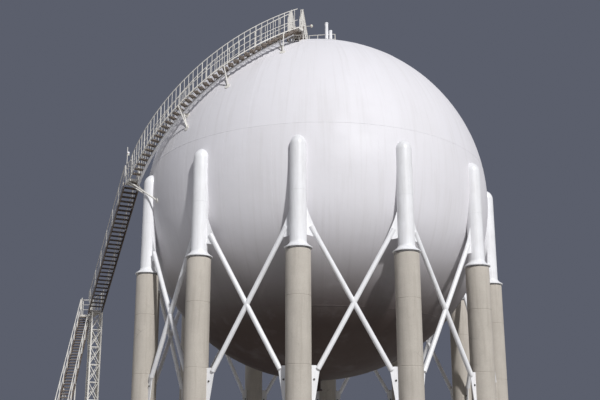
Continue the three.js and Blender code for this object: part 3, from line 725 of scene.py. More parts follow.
@dataclass(frozen=True)
class Growth:
    """A Geometry Nodes tree that turns a seed mesh into a plain mesh."""

    name: ClassVar[str]
    sizes: ClassVar[dict[str, float | int]]

    def pattern(self, tree: Tree, given: bpy.types.NodeOutputs) -> Socket:
        """Adds the nodes that make the shape, and gives the shape's socket."""
        raise NotImplementedError

    def tree(self) -> Tree:
        """Builds the tree, or finds it where it is built already.

        Returns:
            The tree, with a named input for each size and one for the material.
        """
        found = bpy.data.node_groups.get(self.name)
        if found is not None:
            return found
        tree = bpy.data.node_groups.new(self.name, "GeometryNodeTree")
        tree.interface.new_socket("Geometry", in_out="INPUT", socket_type="NodeSocketGeometry")
        for size, value in self.sizes.items():
            kind = "NodeSocketInt" if isinstance(value, int) else "NodeSocketFloat"
            tree.interface.new_socket(size, in_out="INPUT", socket_type=kind).default_value = value
        tree.interface.new_socket("Material", in_out="INPUT", socket_type="NodeSocketMaterial")
        tree.interface.new_socket("Geometry", in_out="OUTPUT", socket_type="NodeSocketGeometry")
        given = add_node(tree, "NodeGroupInput").outputs
        grown = self.pattern(tree, given)
        real = add_node(tree, "GeometryNodeRealizeInstances", links={"Geometry": grown}).outputs[0]
        links = {"Geometry": real, "Material": given["Material"]}
        coated = add_node(tree, "GeometryNodeSetMaterial", links=links).outputs[0]
        add_node(tree, "NodeGroupOutput", links={"Geometry": coated})
        return tree

    def grow(self, seed: bpy.types.Mesh, finish: Finish, **sizes: float | int) -> Part:
        """Runs the tree on a seed.

        Args:
            seed: The mesh whose points and edges carry the shape's attributes.
            finish: The finish of what grows.
            sizes: Values for the tree's named sizes.

        Returns:
            The plain mesh with its finish.
        """
        carrier = add_object("seed", seed)
        modifier = carrier.modifiers.new("growth", "NODES")
        modifier.node_group = self.tree()
        values = {**sizes, "Material": finish.material()}
        for item in modifier.node_group.interface.items_tree:
            if item.in_out == "INPUT" and item.name in values:
                modifier[item.identifier] = values[item.name]
        graph = bpy.context.evaluated_depsgraph_get()
        grown = bpy.data.meshes.new_from_object(carrier.evaluated_get(graph))
        carrier.modifiers.remove(modifier)
        bpy.data.objects.remove(carrier)
        bpy.data.meshes.remove(seed)
        shape = bmesh.new()
        shape.from_mesh(grown)
        bmesh.ops.recalc_face_normals(shape, faces=shape.faces)
        soften(shape, 40)
        shape.to_mesh(grown)
        shape.free()
        return Part(grown, finish)


@dataclass(frozen=True)
class Part:
    """A plain mesh and its finish."""

    mesh: bpy.types.Mesh
    finish: Finish


class TubeGrowth(Growth):
    """Round tubes along the edges of a seed, each as thick as its points say."""

    name = "tubes_along_edges"
    sizes = {"Sides": 10}

    def pattern(self, tree: Tree, given: bpy.types.NodeOutputs) -> Socket:
        """Sweeps a circle along the seed's edges.

        Args:
            tree: The tree.
            given: The tree's own inputs.

        Returns:
            The tubes.
        """
        paths = add_node(tree, "GeometryNodeMeshToCurve", links={"Mesh": given["Geometry"]}).outputs[0]
        sides = {"Resolution": given["Sides"]}
        ring = add_node(tree, "GeometryNodeCurvePrimitiveCircle", {"Radius": 1.0}, sides)
        thickness = {"data_type": "FLOAT", "Name": "bar_radius"}
        radius = add_node(tree, "GeometryNodeInputNamedAttribute", thickness).outputs["Attribute"]
        links = {"Curve": paths, "Profile Curve": ring.outputs["Curve"], "Scale": radius}
        return add_node(tree, "GeometryNodeCurveToMesh", {"Fill Caps": True}, links).outputs[0]


class FastenerGrowth(Growth):
    """Nuts, studs and pads: a short prism on each point of a seed, turned along the point's axis."""

    name = "fasteners_on_points"
    sizes = {"Sides": 6, "Radius": 0.03, "Height": 0.03}

    def pattern(self, tree: Tree, given: bpy.types.NodeOutputs) -> Socket:
        """Sets one prism on each point.

        Args:
            tree: The tree.
            given: The tree's own inputs.

        Returns:
            The fasteners.
        """
        size = {"Vertices": given["Sides"], "Radius": given["Radius"], "Depth": given["Height"]}
        prism = add_node(tree, "GeometryNodeMeshCylinder", links=size).outputs["Mesh"]
        wanted = {"data_type": "FLOAT_VECTOR", "Name": "axis"}
        axis = add_node(tree, "GeometryNodeInputNamedAttribute", wanted).outputs["Attribute"]
        turn = add_node(tree, "FunctionNodeAlignRotationToVector", {"axis": "Z"}, {"Vector": axis})
        links = {"Points": given["Geometry"], "Instance": prism, "Rotation": turn.outputs[0]}
        return add_node(tree, "GeometryNodeInstanceOnPoints", links=links).outputs[0]


class TreadGrowth(Growth):
    """Folded treads: a plate with a lip at its front and its back on each point of a seed."""

    name = "treads_on_points"
    sizes = {"Plate": 0.008, "Lip": 0.045}
    lip_share: ClassVar[float] = 0.03

    def pattern(self, tree: Tree, given: bpy.types.NodeOutputs) -> Socket:
        """Sets one folded tread on each point, as long and as wide as the point says.

        Args:
            tree: The tree.
            given: The tree's own inputs.

        Returns:
            The treads.
        """
        joined = add_node(tree, "GeometryNodeJoinGeometry")
        thin = self.lip_share
        edge = (1 - thin) / 2
        for length, along, depth in ((1.0, 0.0, "Plate"), (thin, -edge, "Lip"), (thin, edge, "Lip")):
            size = add_node(tree, "ShaderNodeCombineXYZ", {"X": length, "Y": 1.0}, {"Z": given[depth]})
            plate = add_node(tree, "GeometryNodeMeshCube", links={"Size": size.outputs[0]}).outputs["Mesh"]
            half = {"operation": "MULTIPLY", 1: -0.5}
            drop = add_node(tree, "ShaderNodeMath", half, {0: given[depth]}).outputs[0]
            shift = add_node(tree, "ShaderNodeCombineXYZ", {"X": along}, {"Z": drop}).outputs[0]
            links = {"Geometry": plate, "Translation": shift}
            placed = add_node(tree, "GeometryNodeTransform", links=links)
            tree.links.new(placed.outputs[0], joined.inputs[0])
        turn, size = [
            add_node(tree, "GeometryNodeInputNamedAttribute", {"data_type": "FLOAT_VECTOR", "Name": name})
            for name in ("turn", "size")
        ]
        links = {"Points": given["Geometry"], "Instance": joined.outputs[0]}
        links |= {"Rotation": turn.outputs["Attribute"], "Scale": size.outputs["Attribute"]}
        return add_node(tree, "GeometryNodeInstanceOnPoints", links=links).outputs[0]


TUBES = TubeGrowth()
FASTENERS = FastenerGrowth()
TREADS = TreadGrowth()


class Wires:
    """Round bars drawn as lines, each with its own radius."""

    def __init__(self) -> None:
        """Starts with no bars."""
        self.points: list[Vector] = []
        self.edges: list[tuple[int, int]] = []
        self.radii: list[float] = []

    def bar(self, radius: float, *path: Vector, closed: bool = False) -> Wires:
        """Adds a bar.

        Args:
            radius: The bar's radius.
            path: The points that its axis follows.
            closed: Whether the last point joins the first.

        Returns:
            The wires themselves.
        """
        first = len(self.points)
        self.points += path
        self.radii += [radius] * len(path)
        self.edges += [(first + i, first + i + 1) for i in range(len(path) - 1)]
        if closed:
            self.edges.append((first + len(path) - 1, first))
        return self

    def grown(self, finish: Finish, sides: int = 10) -> Part:
        """The bars as tubes with a finish.

        Args:
            finish: The finish of the tubes.
            sides: The sides of each tube.

        Returns:
            The tubes.
        """
        seed = bpy.data.meshes.new("wires")
        seed.from_pydata(self.points, self.edges, [])
        seed.attributes.new("bar_radius", "FLOAT", "POINT").data.foreach_set("value", self.radii)
        return TUBES.grow(seed, finish, Sides=sides)


@dataclass(frozen=True)
class Fastener:
    """The size of a nut, a stud or a round pad."""

    radius: float
    height: float
    sides: int = 6


class Marks:
    """Points that carry vectors by name, on which fasteners or treads grow."""

    def __init__(self, *names: str) -> None:
        """Starts with no points. Each will carry a vector of each name, or else an axis."""
        self.points: list[Vector] = []
        self.vectors: dict[str, list[Vector]] = {name: [] for name in names or ("axis",)}

    def add(self, point: Vector, *vectors: Vector) -> Marks:
        """Adds a point.

        Args:
            point: The point.
            vectors: What it carries, in the order of the names.

        Returns:
            The marks themselves.
        """
        self.points.append(point)
        for values, vector in zip(self.vectors.values(), vectors):
            values.append(vector)
        return self

    def pad(self, foot: Vector, size: Fastener) -> Marks:
        """Adds the point of a pad of a size over a strut's foot, which lies inside the shell."""
        return self.add(foot + outward(foot) * size.height, outward(foot))

    def circle(self, count: int, radius: float, centre: Vector, first: float = 0.0) -> Marks:
        """Adds a level circle of points that carry an upright axis.

        Args:
            count: The number of points.
            radius: The circle's radius.
            centre: Its centre.
            first: The azimuth of the first point, in degrees.

        Returns:
            The marks themselves.
        """
        for i in range(count):
            self.add(centre + around(first + 360 * i / count, radius, 0.0), UP)
        return self

    def fasteners(self, size: Fastener, finish: Finish = ZINC) -> Part:
        """Fasteners or pads of a size on the points."""
        return self.grown(FASTENERS, finish, Sides=size.sides, Radius=size.radius, Height=size.height)

    def grown(self, growth: Growth, finish: Finish, **sizes: float | int) -> Part:
        """What grows on the points.

        Args:
            growth: The tree that runs.
            finish: The finish of what grows.
            sizes: Values for the tree's named sizes.

        Returns:
            The mesh with its finish.
        """
        seed = bpy.data.meshes.new("marks")
        seed.from_pydata(self.points, [], [])
        for name, values in self.vectors.items():
            flat = [number for vector in values for number in vector]
            seed.attributes.new(name, "FLOAT_VECTOR", "POINT").data.foreach_set("vector", flat)
        return growth.grow(seed, finish, **sizes)


class Shape:
    """A mesh under construction."""

    def __init__(self) -> None:
        """Starts with no faces."""
        self.work = bmesh.new()

    def loft(self, rings: Sequence[Sequence[Vector]], capped: bool = True) -> Shape:
        """Adds a skin over rings of points.

        Args:
            rings: The rings in order, with equal numbers of points.
            capped: Whether the first and the last ring are closed by a face.

        Returns:
            The shape itself.
        """
        rows = [[self.work.verts.new(point) for point in ring] for ring in rings]
        for low, high in zip(rows, rows[1:]):
            for i in range(len(low)):
                j = (i + 1) % len(low)
                self.work.faces.new((low[i], low[j], high[j], high[i]))
        if capped:
            self.work.faces.new(rows[0][::-1])
            self.work.faces.new(rows[-1])
        return self

    def stack(self, rings: Sequence[tuple[Outline, float]], capped: bool = True) -> Shape:
        """Adds a skin over level outlines, each given with its height, and closes its ends if capped."""
        return self.loft([[Vector((x, y, level)) for x, y in ring] for ring, level in rings], capped)

    def prism(self, plan: Outline, bottom: float, top: float) -> Shape:
        """Adds an upright prism with a plan between two heights."""
        return self.stack([(plan, bottom), (plan, top)])

    def collar(self, outer: Outline, inner: Outline, low: float, high: float) -> Shape:
        """Adds what lies between two outlines and two heights."""
        return self.stack([(outer, low), (outer, high), (inner, high), (inner, low), (outer, low)], False)

    def lathe(self, profile: Outline, sides: int, at: Point2 = (0.0, 0.0)) -> Shape:
        """Turns a profile about an upright axis.

        Args:
            profile: Pairs of radius and height that end on the axis or where they began.
            sides: The sides of the turned shape.
            at: The axis in plan.

        Returns:
            The shape itself.
        """
        shift = Vector((*at, 0.0))
        turns = [360 * i / sides for i in range(sides)]
        rings = [[around(turn, radius, z) + shift for turn in turns] for radius, z in profile]
        return self.loft(rings, False)

    def sweep(self, path: Sequence[Vector], section: Outline) -> Shape:
        """Carries an upright section along a path.

        Args:
            path: The path's points.
            section: Pairs of distance to the right of the path and height above it.

        Returns:
            The shape itself.
        """
        rings = []
        for i, point in enumerate(path):
            heading = path[min(i + 1, len(path) - 1)] - path[max(i - 1, 0)]
            right = Vector((heading.y, -heading.x, 0.0)).normalized()
            rings.append([point + right * across + UP * lift for across, lift in section])
        return self.loft(rings)

    def plate(self, corners: Outline, origin: Vector, along: Vector, thickness: float) -> Shape:
        """Adds a plate in an upright plane.

        Args:
            corners: Pairs of distance along the plane and height.
            origin: Where distances begin, in plan.
            along: The plane's level direction.
            thickness: The plate's thickness.

        Returns:
            The shape itself.
        """
        base = Vector((origin.x, origin.y, 0.0))
        half = along.cross(UP).normalized() * thickness / 2
        rings = [[base + along * d + UP * h + side for d, h in corners] for side in (-half, half)]
        return self.loft(rings)

    def angle_bar(self, start: Vector, end: Vector, leg: float, wall: float, towards: Vector) -> Shape:
        """Adds an angle section between two points.

        Args:
            start: One end of the angle's heel.
            end: The other end.
            leg: The width of each leg.
            wall: The thickness of each leg.
            towards: A direction that lies between the two legs.

        Returns:
            The shape itself.
        """
        axis = (end - start).normalized()
        middle = (towards - axis * towards.dot(axis)).normalized()
        first, second = [Matrix.Rotation(math.radians(turn), 3, axis) @ middle for turn in (45, -45)]
        outline = [(0, 0), (leg, 0), (leg, wall), (wall, wall), (wall, leg), (0, leg)]
        rings = [[end_point + first * a + second * b for a, b in outline] for end_point in (start, end)]
        return self.loft(rings)

    def above(self, level: float) -> Shape:
        """Cuts away what lies below a level and closes the cut.

        Args:
            level: The level.

        Returns:
            The shape itself.
        """
        parts = self.work.verts[:] + self.work.edges[:] + self.work.faces[:]
        plane = {"plane_co": UP * level, "plane_no": UP}
        cut = bmesh.ops.bisect_plane(self.work, geom=parts, clear_inner=True, **plane)
        edges = [item for item in cut["geom_cut"] if isinstance(item, bmesh.types.BMEdge)]
        bmesh.ops.holes_fill(self.work, edges=edges)
        return self

    def done(self, finish: Finish, sharp: float = 35.0) -> Part:
        """Closes seams and poles, turns faces outwards and gives the shape a finish.

        Args:
            finish: The finish.
            sharp: The angle in degrees from which two faces meet in an edge.

        Returns:
            The mesh with its finish.
        """
        bmesh.ops.remove_doubles(self.work, verts=self.work.verts, dist=1e-5)
        bmesh.ops.recalc_face_normals(self.work, faces=self.work.faces)
        soften(self.work, sharp)
        mesh = bpy.data.meshes.new("shape")
        self.work.to_mesh(mesh)
        self.work.free()
        return Part(mesh, finish)


@dataclass
class Workshop:
    """Joins parts into pieces, sets them where the frame is, tells the frame about them and counts them."""

    axis: Vector
    count: int = 0

    def piece(self, name: str, parts: Sequence[Part], slot: Slot, node: str, turn: float = 0.0) -> None:
        """Makes one piece.

        Args:
            name: The piece's name.
            parts: What it is joined from.
            slot: The record's slot that its main finish stands for; not used.
            node: The frame's node that it stands for.
            turn: How far it is turned about the sphere's axis, in degrees.
        """
        mesh = bpy.data.meshes.new(name)
        work = bmesh.new()
        for index, part in enumerate(parts):
            done = len(work.faces)
            work.from_mesh(part.mesh)
            work.faces.ensure_lookup_table()
            for face in work.faces[done:]:
                face.material_index = index
            mesh.materials.append(part.finish.material())
        place = Matrix.Translation(self.axis) @ Matrix.Rotation(math.radians(turn), 4, "Z")
        bmesh.ops.transform(work, matrix=place, verts=work.verts)
        work.to_mesh(mesh)
        work.free()
        made = add_object(name, mesh)
        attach(made, BODY)
        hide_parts(node)
        self.count += 1
        log.info("%s: %d faces", name, len(mesh.polygons))

    def tidy(self) -> None:
        """Removes the meshes that were only joined into pieces."""
        for mesh in [mesh for mesh in bpy.data.meshes if mesh.users == 0]:
            bpy.data.meshes.remove(mesh)


# The tank


@dataclass
class Assembly:
    """A sub-assembly, which makes its pieces in a workshop."""

    shop: Workshop

    def build(self) -> None:
        """Makes the pieces."""
        raise NotImplementedError


@dataclass
class ShellZone(Assembly):
    """One zone of the pressure shell: its plates between two latitudes and its weld beads."""

    node: str
    low: float
    high: float
    petals: int = 0
    offset: float = 0.0
    plate: float = 0.04
    sides: int = 144
    step: float = 2.0
    bead: float = 0.022
    bead_step: float = 3.0
    ring_rise: float = 0.009
    seam_rise: float = 0.004
    chord: float = 2.1
    chord_steps: int = 24
    pole: ClassVar[float] = 90.0

    def arc(self, radius: float) -> list[Point2]:
        """The zone's section at a radius, with half the clearance at each seam.

        Args:
            radius: The radius of the arc.

        Returns:
            Pairs of distance from the axis and height.
        """
        joint = math.degrees(CLEARANCE / 2 / SPHERE_RADIUS)
        low = self.low if self.low == -self.pole else self.low + joint
        high = self.high if self.high == self.pole else self.high - joint
        steps = math.ceil((high - low) / self.step)
        tilts = [math.radians(mix(low, high, i / steps)) for i in range(steps + 1)]
        return [(radius * math.cos(tilt), CENTRE_HEIGHT + radius * math.sin(tilt)) for tilt in tilts]

    def plates(self) -> Part:
        """The rolled plates of the zone."""
        profile = self.arc(SPHERE_RADIUS) + self.arc(SPHERE_RADIUS - self.plate)[::-1]
        return Shape().lathe([*profile, profile[0]], self.sides).done(SHELL_PAINT)

    def crown_seam(self, x: float, radius: float) -> list[Vector]:
        """A seam straight across a crown.

        Args:
            x: Its distance from the axis.
            radius: The radius of the sphere that it lies on.

        Returns:
            Points along it.
        """
        edge, turn = (self.low, 1) if self.high == self.pole else (self.high, -1)
        reach = math.sqrt((radius * math.cos(math.radians(edge))) ** 2 - x**2)
        rows = [mix(-reach, reach, i / self.chord_steps) for i in range(self.chord_steps + 1)]
        rise = [math.sqrt(radius**2 - x**2 - y**2) * turn for y in rows]
        return [Vector((x, y, CENTRE_HEIGHT + z)) for y, z in zip(rows, rise)]

    def beads(self) -> Part:
        """The weld beads: one round the lower seam, and one between petals or across a crown.

        Returns:
            The beads.
        """
        wires = Wires()
        axis = SPHERE_RADIUS - self.bead
        if self.low > -self.pole:
            count = round(360 / self.bead_step)
            rim = [on_sphere(360 * i / count, self.low, axis + self.ring_rise) for i in range(count)]
            wires.bar(self.bead, *rim, closed=True)
        steps = math.ceil((self.high - self.low) / self.bead_step)
        tilts = [mix(self.low, self.high, i / steps) for i in range(steps + 1)]
        for i in range(self.petals):
            azimuth = self.offset + 360 * i / self.petals
            wires.bar(self.bead, *[on_sphere(azimuth, tilt, axis + self.seam_rise) for tilt in tilts])
        if not self.petals:
            for x in (-self.chord, self.chord):
                wires.bar(self.bead, *self.crown_seam(x, axis + self.seam_rise))
        return wires.grown(SHELL_PAINT, 8)

    def build(self) -> None:
        """Makes the zone's piece."""
        self.shop.piece(f"{self.node}_plates", [self.plates(), self.beads()], Slot.SHELL, self.node)


@dataclass
class Legs(Assembly):
    """The twelve legs: a steel pipe welded to the shell, and its fireproofed foot."""

    pipe: float = 0.4
    sides: int = 48
    casing: float = 0.585
    casing_sides: int = 64
    casing_top: float = 10.57
    chamfer: float = 0.04
    joints: tuple[float, ...] = (8.41, 5.32, 2.6)
    joint_depth: float = 0.012
    joint_halves: Point2 = (0.02, 0.006)
    base_width: float = 1.4
    base_height: float = 0.06
    base_corner: float = 0.03
    base_edge: float = 0.004
    bolt_inset: float = 0.11
    nut: Fastener = Fastener(0.042, 0.044)
    stud: Fastener = Fastener(0.022, 0.11, 12)
    stud_middle: float = 0.045
    skirt: float = 0.66
    skirt_foot: float = 10.63
    skirt_wall: float = 0.02
    flare_top: float = 10.96
    girth_weld: float = 13.403
    cap_base: float = 15.65
    cap_height: float = 0.55
    gusset_plate: float = 0.036
    plan: ClassVar[Point2] = (0.0, -SPHERE_RADIUS)
    weld: ClassVar[Outline] = [(0.0, -0.013), (0.006, -0.007), (0.006, 0.007), (0.0, 0.013)]
    gusset: ClassVar[Outline] = [
        (0.3, 12.84), (0.41, 12.62), (0.52, 12.28), (0.69, 11.87), (0.9, 11.43), (0.692, 11.23),
        (0.3, 11.33),
    ]

    def cap(self) -> list[Point2]:
        """The section of the pointed cap.

        Returns:
            Pairs of radius and height, from the cap's foot to its tip on the axis.
        """
        curve = (self.pipe**2 + self.cap_height**2) / (2 * self.pipe)
        rises = [self.cap_height * i / 12 for i in range(12)]
        side = [(math.sqrt(curve**2 - rise**2) + self.pipe - curve, self.cap_base + rise) for rise in rises]
        return [*side, (0.0, self.cap_base + self.cap_height)]

    def rain_skirt(self) -> list[Point2]:
        """The section of the rain skirt: its hollow underside, its rolled rim and its flare.

        Returns:
            Pairs of radius and height, from the pipe under the skirt to the pipe over it.
        """
        rim, low, wall = self.skirt, self.skirt_foot, self.skirt_wall
        section = [(self.pipe, low + 0.045), (rim - wall, low + 0.015), (rim - wall, low)]
        section += [(rim - 0.005, low), (rim, low + 0.006), (rim, low + 0.044), (rim - 0.006, low + 0.05)]
        for share in [i / 8 for i in range(9)]:
            reach = self.pipe + (rim - wall - self.pipe) * (1 - share) ** 2
            section.append((reach, mix(low + 0.06, self.flare_top, share)))
        return section

    def upper(self) -> list[Part]:
        """The steel part of leg 0: pipe, rain skirt, pointed cap and upper gussets.

        Returns:
            The parts of the piece.
        """
        seat = self.casing_top + CLEARANCE
        weld = [(self.pipe + out, self.girth_weld + lift) for out, lift in self.weld]
        profile = [(0.0, seat), (self.pipe, seat), *self.rain_skirt(), *weld, *self.cap()]
        steel = Shape().lathe(profile, self.sides, self.plan)
        foot, bay = around(0, SPHERE_RADIUS, 0), around(90 + 180 / LEG_COUNT, 1, 0)
        for along in (bay, Vector((-bay.x, bay.y, 0.0))):
            steel.plate(self.gusset, foot, along, self.gusset_plate)
        low, pipe = self.casing_top + 0.001, self.pipe
        sealed = [(pipe, low), (pipe + 0.03, low), (pipe + 0.002, low + 0.039), (pipe, low)]
        return [steel.done(PIPE_ENAMEL, 30), Shape().lathe(sealed, self.sides, self.plan).done(MASTIC)]

    def concrete(self) -> Part:
        """The casing of leg 0, with the grooves between its lifts.

        Returns:
            The casing.
        """
        out, groove, top, cut = self.casing, self.casing - self.joint_depth, self.casing_top, self.chamfer
        profile = [(0.0, self.base_height / 2), (out, self.base_height / 2)]
        wide, narrow = self.joint_halves
        for level in sorted(self.joints):
            profile += [(out, level - wide), (groove, level - narrow)]
            profile += [(groove, level + narrow), (out, level + wide)]
        profile += [(out, top - cut), (out - cut / 3, top - cut / 3), (out - cut, top), (0.0, top)]
        return Shape().lathe(profile, self.casing_sides, self.plan).done(FIREPROOFING, 40)

    def lower(self) -> list[Part]:
        """The fireproofed part of leg 0 on its bolted base plate.

        Returns:
            The parts of the piece.
        """
        half, cut, edge, top = self.base_width / 2, self.base_corner, self.base_edge, self.base_height
        corners = [(-half, -half + cut), (-half + cut, -half), (half - cut, -half), (half, -half + cut)]
        corners += [(-x, -y) for x, y in corners]
        plan = [(x, y - SPHERE_RADIUS) for x, y in corners]
        eased = widened(plan, -edge)
        base = Shape().stack([(eased, 0.0), (plan, edge), (plan, top - edge), (eased, top)])
        nuts, studs = Marks(), Marks()
        rim = half - self.bolt_inset
        for x, y in [(x, y) for x in (-rim, 0, rim) for y in (-rim, 0, rim) if x or y]:
            nuts.add(Vector((x, y - SPHERE_RADIUS, top + self.nut.height / 2)), UP)
            studs.add(Vector((x, y - SPHERE_RADIUS, top + self.stud_middle)), UP)
        fasteners = [nuts.fasteners(self.nut), studs.fasteners(self.stud)]
        return [self.concrete(), base.done(PIPE_ENAMEL), *fasteners]

    def build(self) -> None:
        """Makes the pieces of all legs."""
        upper, lower = self.upper(), self.lower()
        for i in range(LEG_COUNT):
            turn, number = 360 * i / LEG_COUNT, f"{i + 1:02d}"
            self.shop.piece(f"leg_pipe_{number}", upper, Slot.PIPE, f"upper_leg_{number}", turn)
            self.shop.piece(f"leg_casing_{number}", lower, Slot.CASING, f"fireproofed_leg_{number}", turn)


@dataclass
class Braces(Assembly):
    """The crossed pipes of the bays, with the fins that carry their lower ends."""

    pipe: float = 0.119
    top: float = 12.8
    foot: float = 3.57
    top_trim: float = 0.6
    foot_trim: float = 0.88
    fin_plate: float = 0.034
    fin: ClassVar[Outline] = [(0.57, 5.32), (0.787, 5.32), (0.97, 5.213), (0.732, 3.728), (0.57, 2.77)]
    fin_bolt: ClassVar[Point2] = (0.7, 4.7)
    bolt: Fastener = Fastener(0.045, 0.11)

    def parts(self) -> list[Part]:
        """The brace of the bay between legs 0 and 1.

        Returns:
            The parts of the piece.
        """
        legs = [around(0, SPHERE_RADIUS, 0), around(360 / LEG_COUNT, SPHERE_RADIUS, 0)]
        span = (legs[0] - legs[1]).length
        slope = (self.top - self.foot) / span
        trims = (self.top_trim, span - self.foot_trim)
        pipes, plates, bolts = Wires(), Shape(), Marks()
        for near, far in (legs, legs[::-1]):
            along = (far - near).normalized()
            ends = [near + along * reach + UP * (self.top - slope * reach) for reach in trims]
            pipes.bar(self.pipe, *ends)
            plates.plate(self.fin, near, along, self.fin_plate)
            reach, level = self.fin_bolt
            bolts.add(near + along * reach + UP * level, along.cross(UP))
        steel = [pipes.grown(PIPE_ENAMEL, 24), plates.done(PIPE_ENAMEL)]
        return [*steel, bolts.fasteners(self.bolt, BITUMEN)]

    def build(self) -> None:
        """Makes the pieces of all bays."""
        parts = self.parts()
        for i in range(LEG_COUNT):
            turn, number = 360 * i / LEG_COUNT, f"{i + 1:02d}"
            self.shop.piece(f"brace_pipes_{number}", parts, Slot.PIPE, f"x_brace_{number}", turn)


# Stairs


@dataclass
class Railing:
    """How railings are made: a top rail, two lower rails, upright bars and a toe plate."""

    height: float = 1.105
    waist: float = 0.78
    knee: float = 0.45
    rail: float = 0.024
    bar: float = 0.017
    upright: float = 0.0145
    post: float = 0.022
    post_every: int = 5
    toe: float = 0.1
    toe_plate: float = 0.006
    bend: float = 0.12
    loop: float = 0.16
    loop_bend: float = 0.07

    def guard(self, path: Sequence[Vector], span: float = 1.2) -> list[Part]:
        """A guard rail round a deck.

        Args:
            path: The line of the guard on the deck.
            span: The widest room between posts.

        Returns:
            The rails and the toe plate.
        """
        wires = Wires()
        wires.bar(self.rail, *rounded([point + UP * self.height for point in path], self.bend))
        for level in (self.knee, self.waist):
            wires.bar(self.bar, *[point + UP * level for point in path])
        for point in spaced(path, span):
            wires.bar(self.post, point - UP * 0.1, point + UP * (self.height - 0.005))
        half, high = self.toe_plate / 2, self.toe
        toe = Shape().sweep(path, [(-half, 0.0), (half, 0.0), (half, high), (-half, high)])
        return [wires.grown(STAIR_PAINT), toe.done(STAIR_PAINT)]


RAILING = Railing()


@dataclass(frozen=True)
class Flight:
    """A flight of folded treads between two channel stringers, with a rail on each side."""

    name: str
    low: float
    high: float
    width: float
    risers: int
    segments: int = 1
    left_band: Point2 = (-0.265, 0.02)
    right_band: Point2 = (-0.265, 0.02)
    # Straight flights' stringers and treads take the tread steel darkened as painted shade.
    left_steel: Finish = SHADED_TREAD_STEEL
    right_steel: Finish = SHADED_TREAD_STEEL
    tread: Finish = SHADED_TREAD_STEEL
    baluster_every: int = 5
    outer: Side = Side.RIGHT
    ends: Point2 = (0.012, 0.988)
    looped: bool = True
    stringer: ClassVar[float] = 0.05
    stringer_wall: ClassVar[float] = 0.01
    tread_gap: ClassVar[float] = 0.002
    tread_run: ClassVar[float] = 1.05
    nosing: ClassVar[float] = 0.011

    def sides(self, share: float) -> tuple[Vector, Vector]:
        """The left and right side of the flight at a share of its length, from its foot."""
        raise NotImplementedError

    def edge(self, side: Side, share: float) -> Vector:
        """The point on one side of the flight at a share of its length."""
        return self.sides(share)[0 if side is Side.LEFT else 1]

    def path(self, side: Side, first: float = 0.0, last: float = 1.0, segments: int = 0) -> list[Vector]:
        """Points along one side between two shares, with the flight's own number of stretches or another."""
        count = segments or self.segments
        return [self.edge(side, mix(first, last, i / count)) for i in range(count + 1)]

    def stringers(self, first: float = 0.0, last: float = 1.0) -> list[Part]:
        """The two stringers, as channels that open towards each other.

        Args:
            first: The share where they start.
            last: The share where they end.

        Returns:
            The stringers.
        """
        half, wall = self.stringer / 2, self.stringer_wall
        made = []
        for side, (bottom, top), finish in (
            (Side.LEFT, self.left_band, self.left_steel),
            (Side.RIGHT, self.right_band, self.right_steel),
        ):
            section = [(-half, bottom), (half, bottom), (half, bottom + wall), (wall - half, bottom + wall)]
            section += [(wall - half, top - wall), (half, top - wall), (half, top), (-half, top)]
            turned = [(-side.value * across, lift) for across, lift in section]
            made.append(Shape().sweep(self.path(side, first, last), turned).above(0.0).done(finish))
        return made

    def treads(self, first: int = 1, last: int = 0) -> list[Part]:
        """The treads and the worn nosing bar of each.

        Args:
            first: The first riser with a tread.
            last: The riser after the last tread, or 0 for all.

        Returns:
            The treads and the nosings.
        """
        marks, nosings = Marks("turn", "size"), Wires()
        inset = self.stringer / 2 + self.tread_gap
        for i in range(max(first, 1), last or self.risers):
            level = mix(self.low, self.high, i / self.risers)
            front, back = [
                [Vector((point.x, point.y, level)) for point in self.sides(share / self.risers)]
                for share in (i, i + self.tread_run)
            ]
            start, end = (front[0] + front[1]) / 2, (back[0] + back[1]) / 2
            heading = end - start
            width = ((front[0] - front[1]).length + (back[0] - back[1]).length) / 2 - 2 * inset
            turn = Vector((0.0, 0.0, math.atan2(heading.y, heading.x)))
            marks.add((start + end) / 2, turn, Vector((heading.length, width, 1.0)))
            reach = (front[1] - front[0]).normalized() * width / 2
            nose = start - UP * self.tread_gap
            nosings.bar(self.nosing, nose - reach, nose + reach)
        return [marks.grown(TREADS, self.tread), nosings.grown(LIT_POLISHED_STEEL, 8)]

    def rail(self, side: Side) -> Part:
        """The handrail on one side, with its uprights over the risers.

        Args:
            side: The side.

        Returns:
            The handrail.
        """
        wires = Wires()
        first, last = self.ends
        line = self.path(side, first, last, 3 * self.segments if self.segments > 1 else 1)
        top = [point + UP * RAILING.height for point in line]
        knee = [point + UP * RAILING.knee for point in line]
        if self.looped:
            ends = []
            for head, foot, inner in ((top[0], knee[0], top[1]), (top[-1], knee[-1], top[-2])):
                out = Vector((head.x - inner.x, head.y - inner.y, 0.0)).normalized() * RAILING.loop
                ends.append([head + out, foot + out])
            turned = [knee[0], ends[0][1], ends[0][0], *top, ends[1][0], ends[1][1], knee[-1]]
            wires.bar(RAILING.rail, *rounded(turned, RAILING.loop_bend, 4))
        else:
            wires.bar(RAILING.rail, *top)
        wires.bar(RAILING.bar, *knee)
        risers = [i for i in range(self.risers + 1) if first <= i / self.risers <= last]
        for number, i in enumerate(risers):
            foot = self.edge(side, i / self.risers)
            thick = RAILING.upright if number % RAILING.post_every else RAILING.post
            if number % self.baluster_every == 0 or i == risers[-1]:
                wires.bar(thick, foot - UP * 0.08, foot + UP * (RAILING.height - 0.004))
        return wires.grown(STAIR_PAINT, 8)

    def build_rails(self, shop: Workshop) -> None:
        """Makes the pieces of the outer and the inner rail.

        Args:
            shop: Where they are made.
        """
        for place, side in (("outer", self.outer), ("inner", Side(-self.outer.value))):
            node = f"{self.name}_{place}_rail"
            shop.piece(f"{node}_tubes", [self.rail(side)], Slot.STAIR, node)


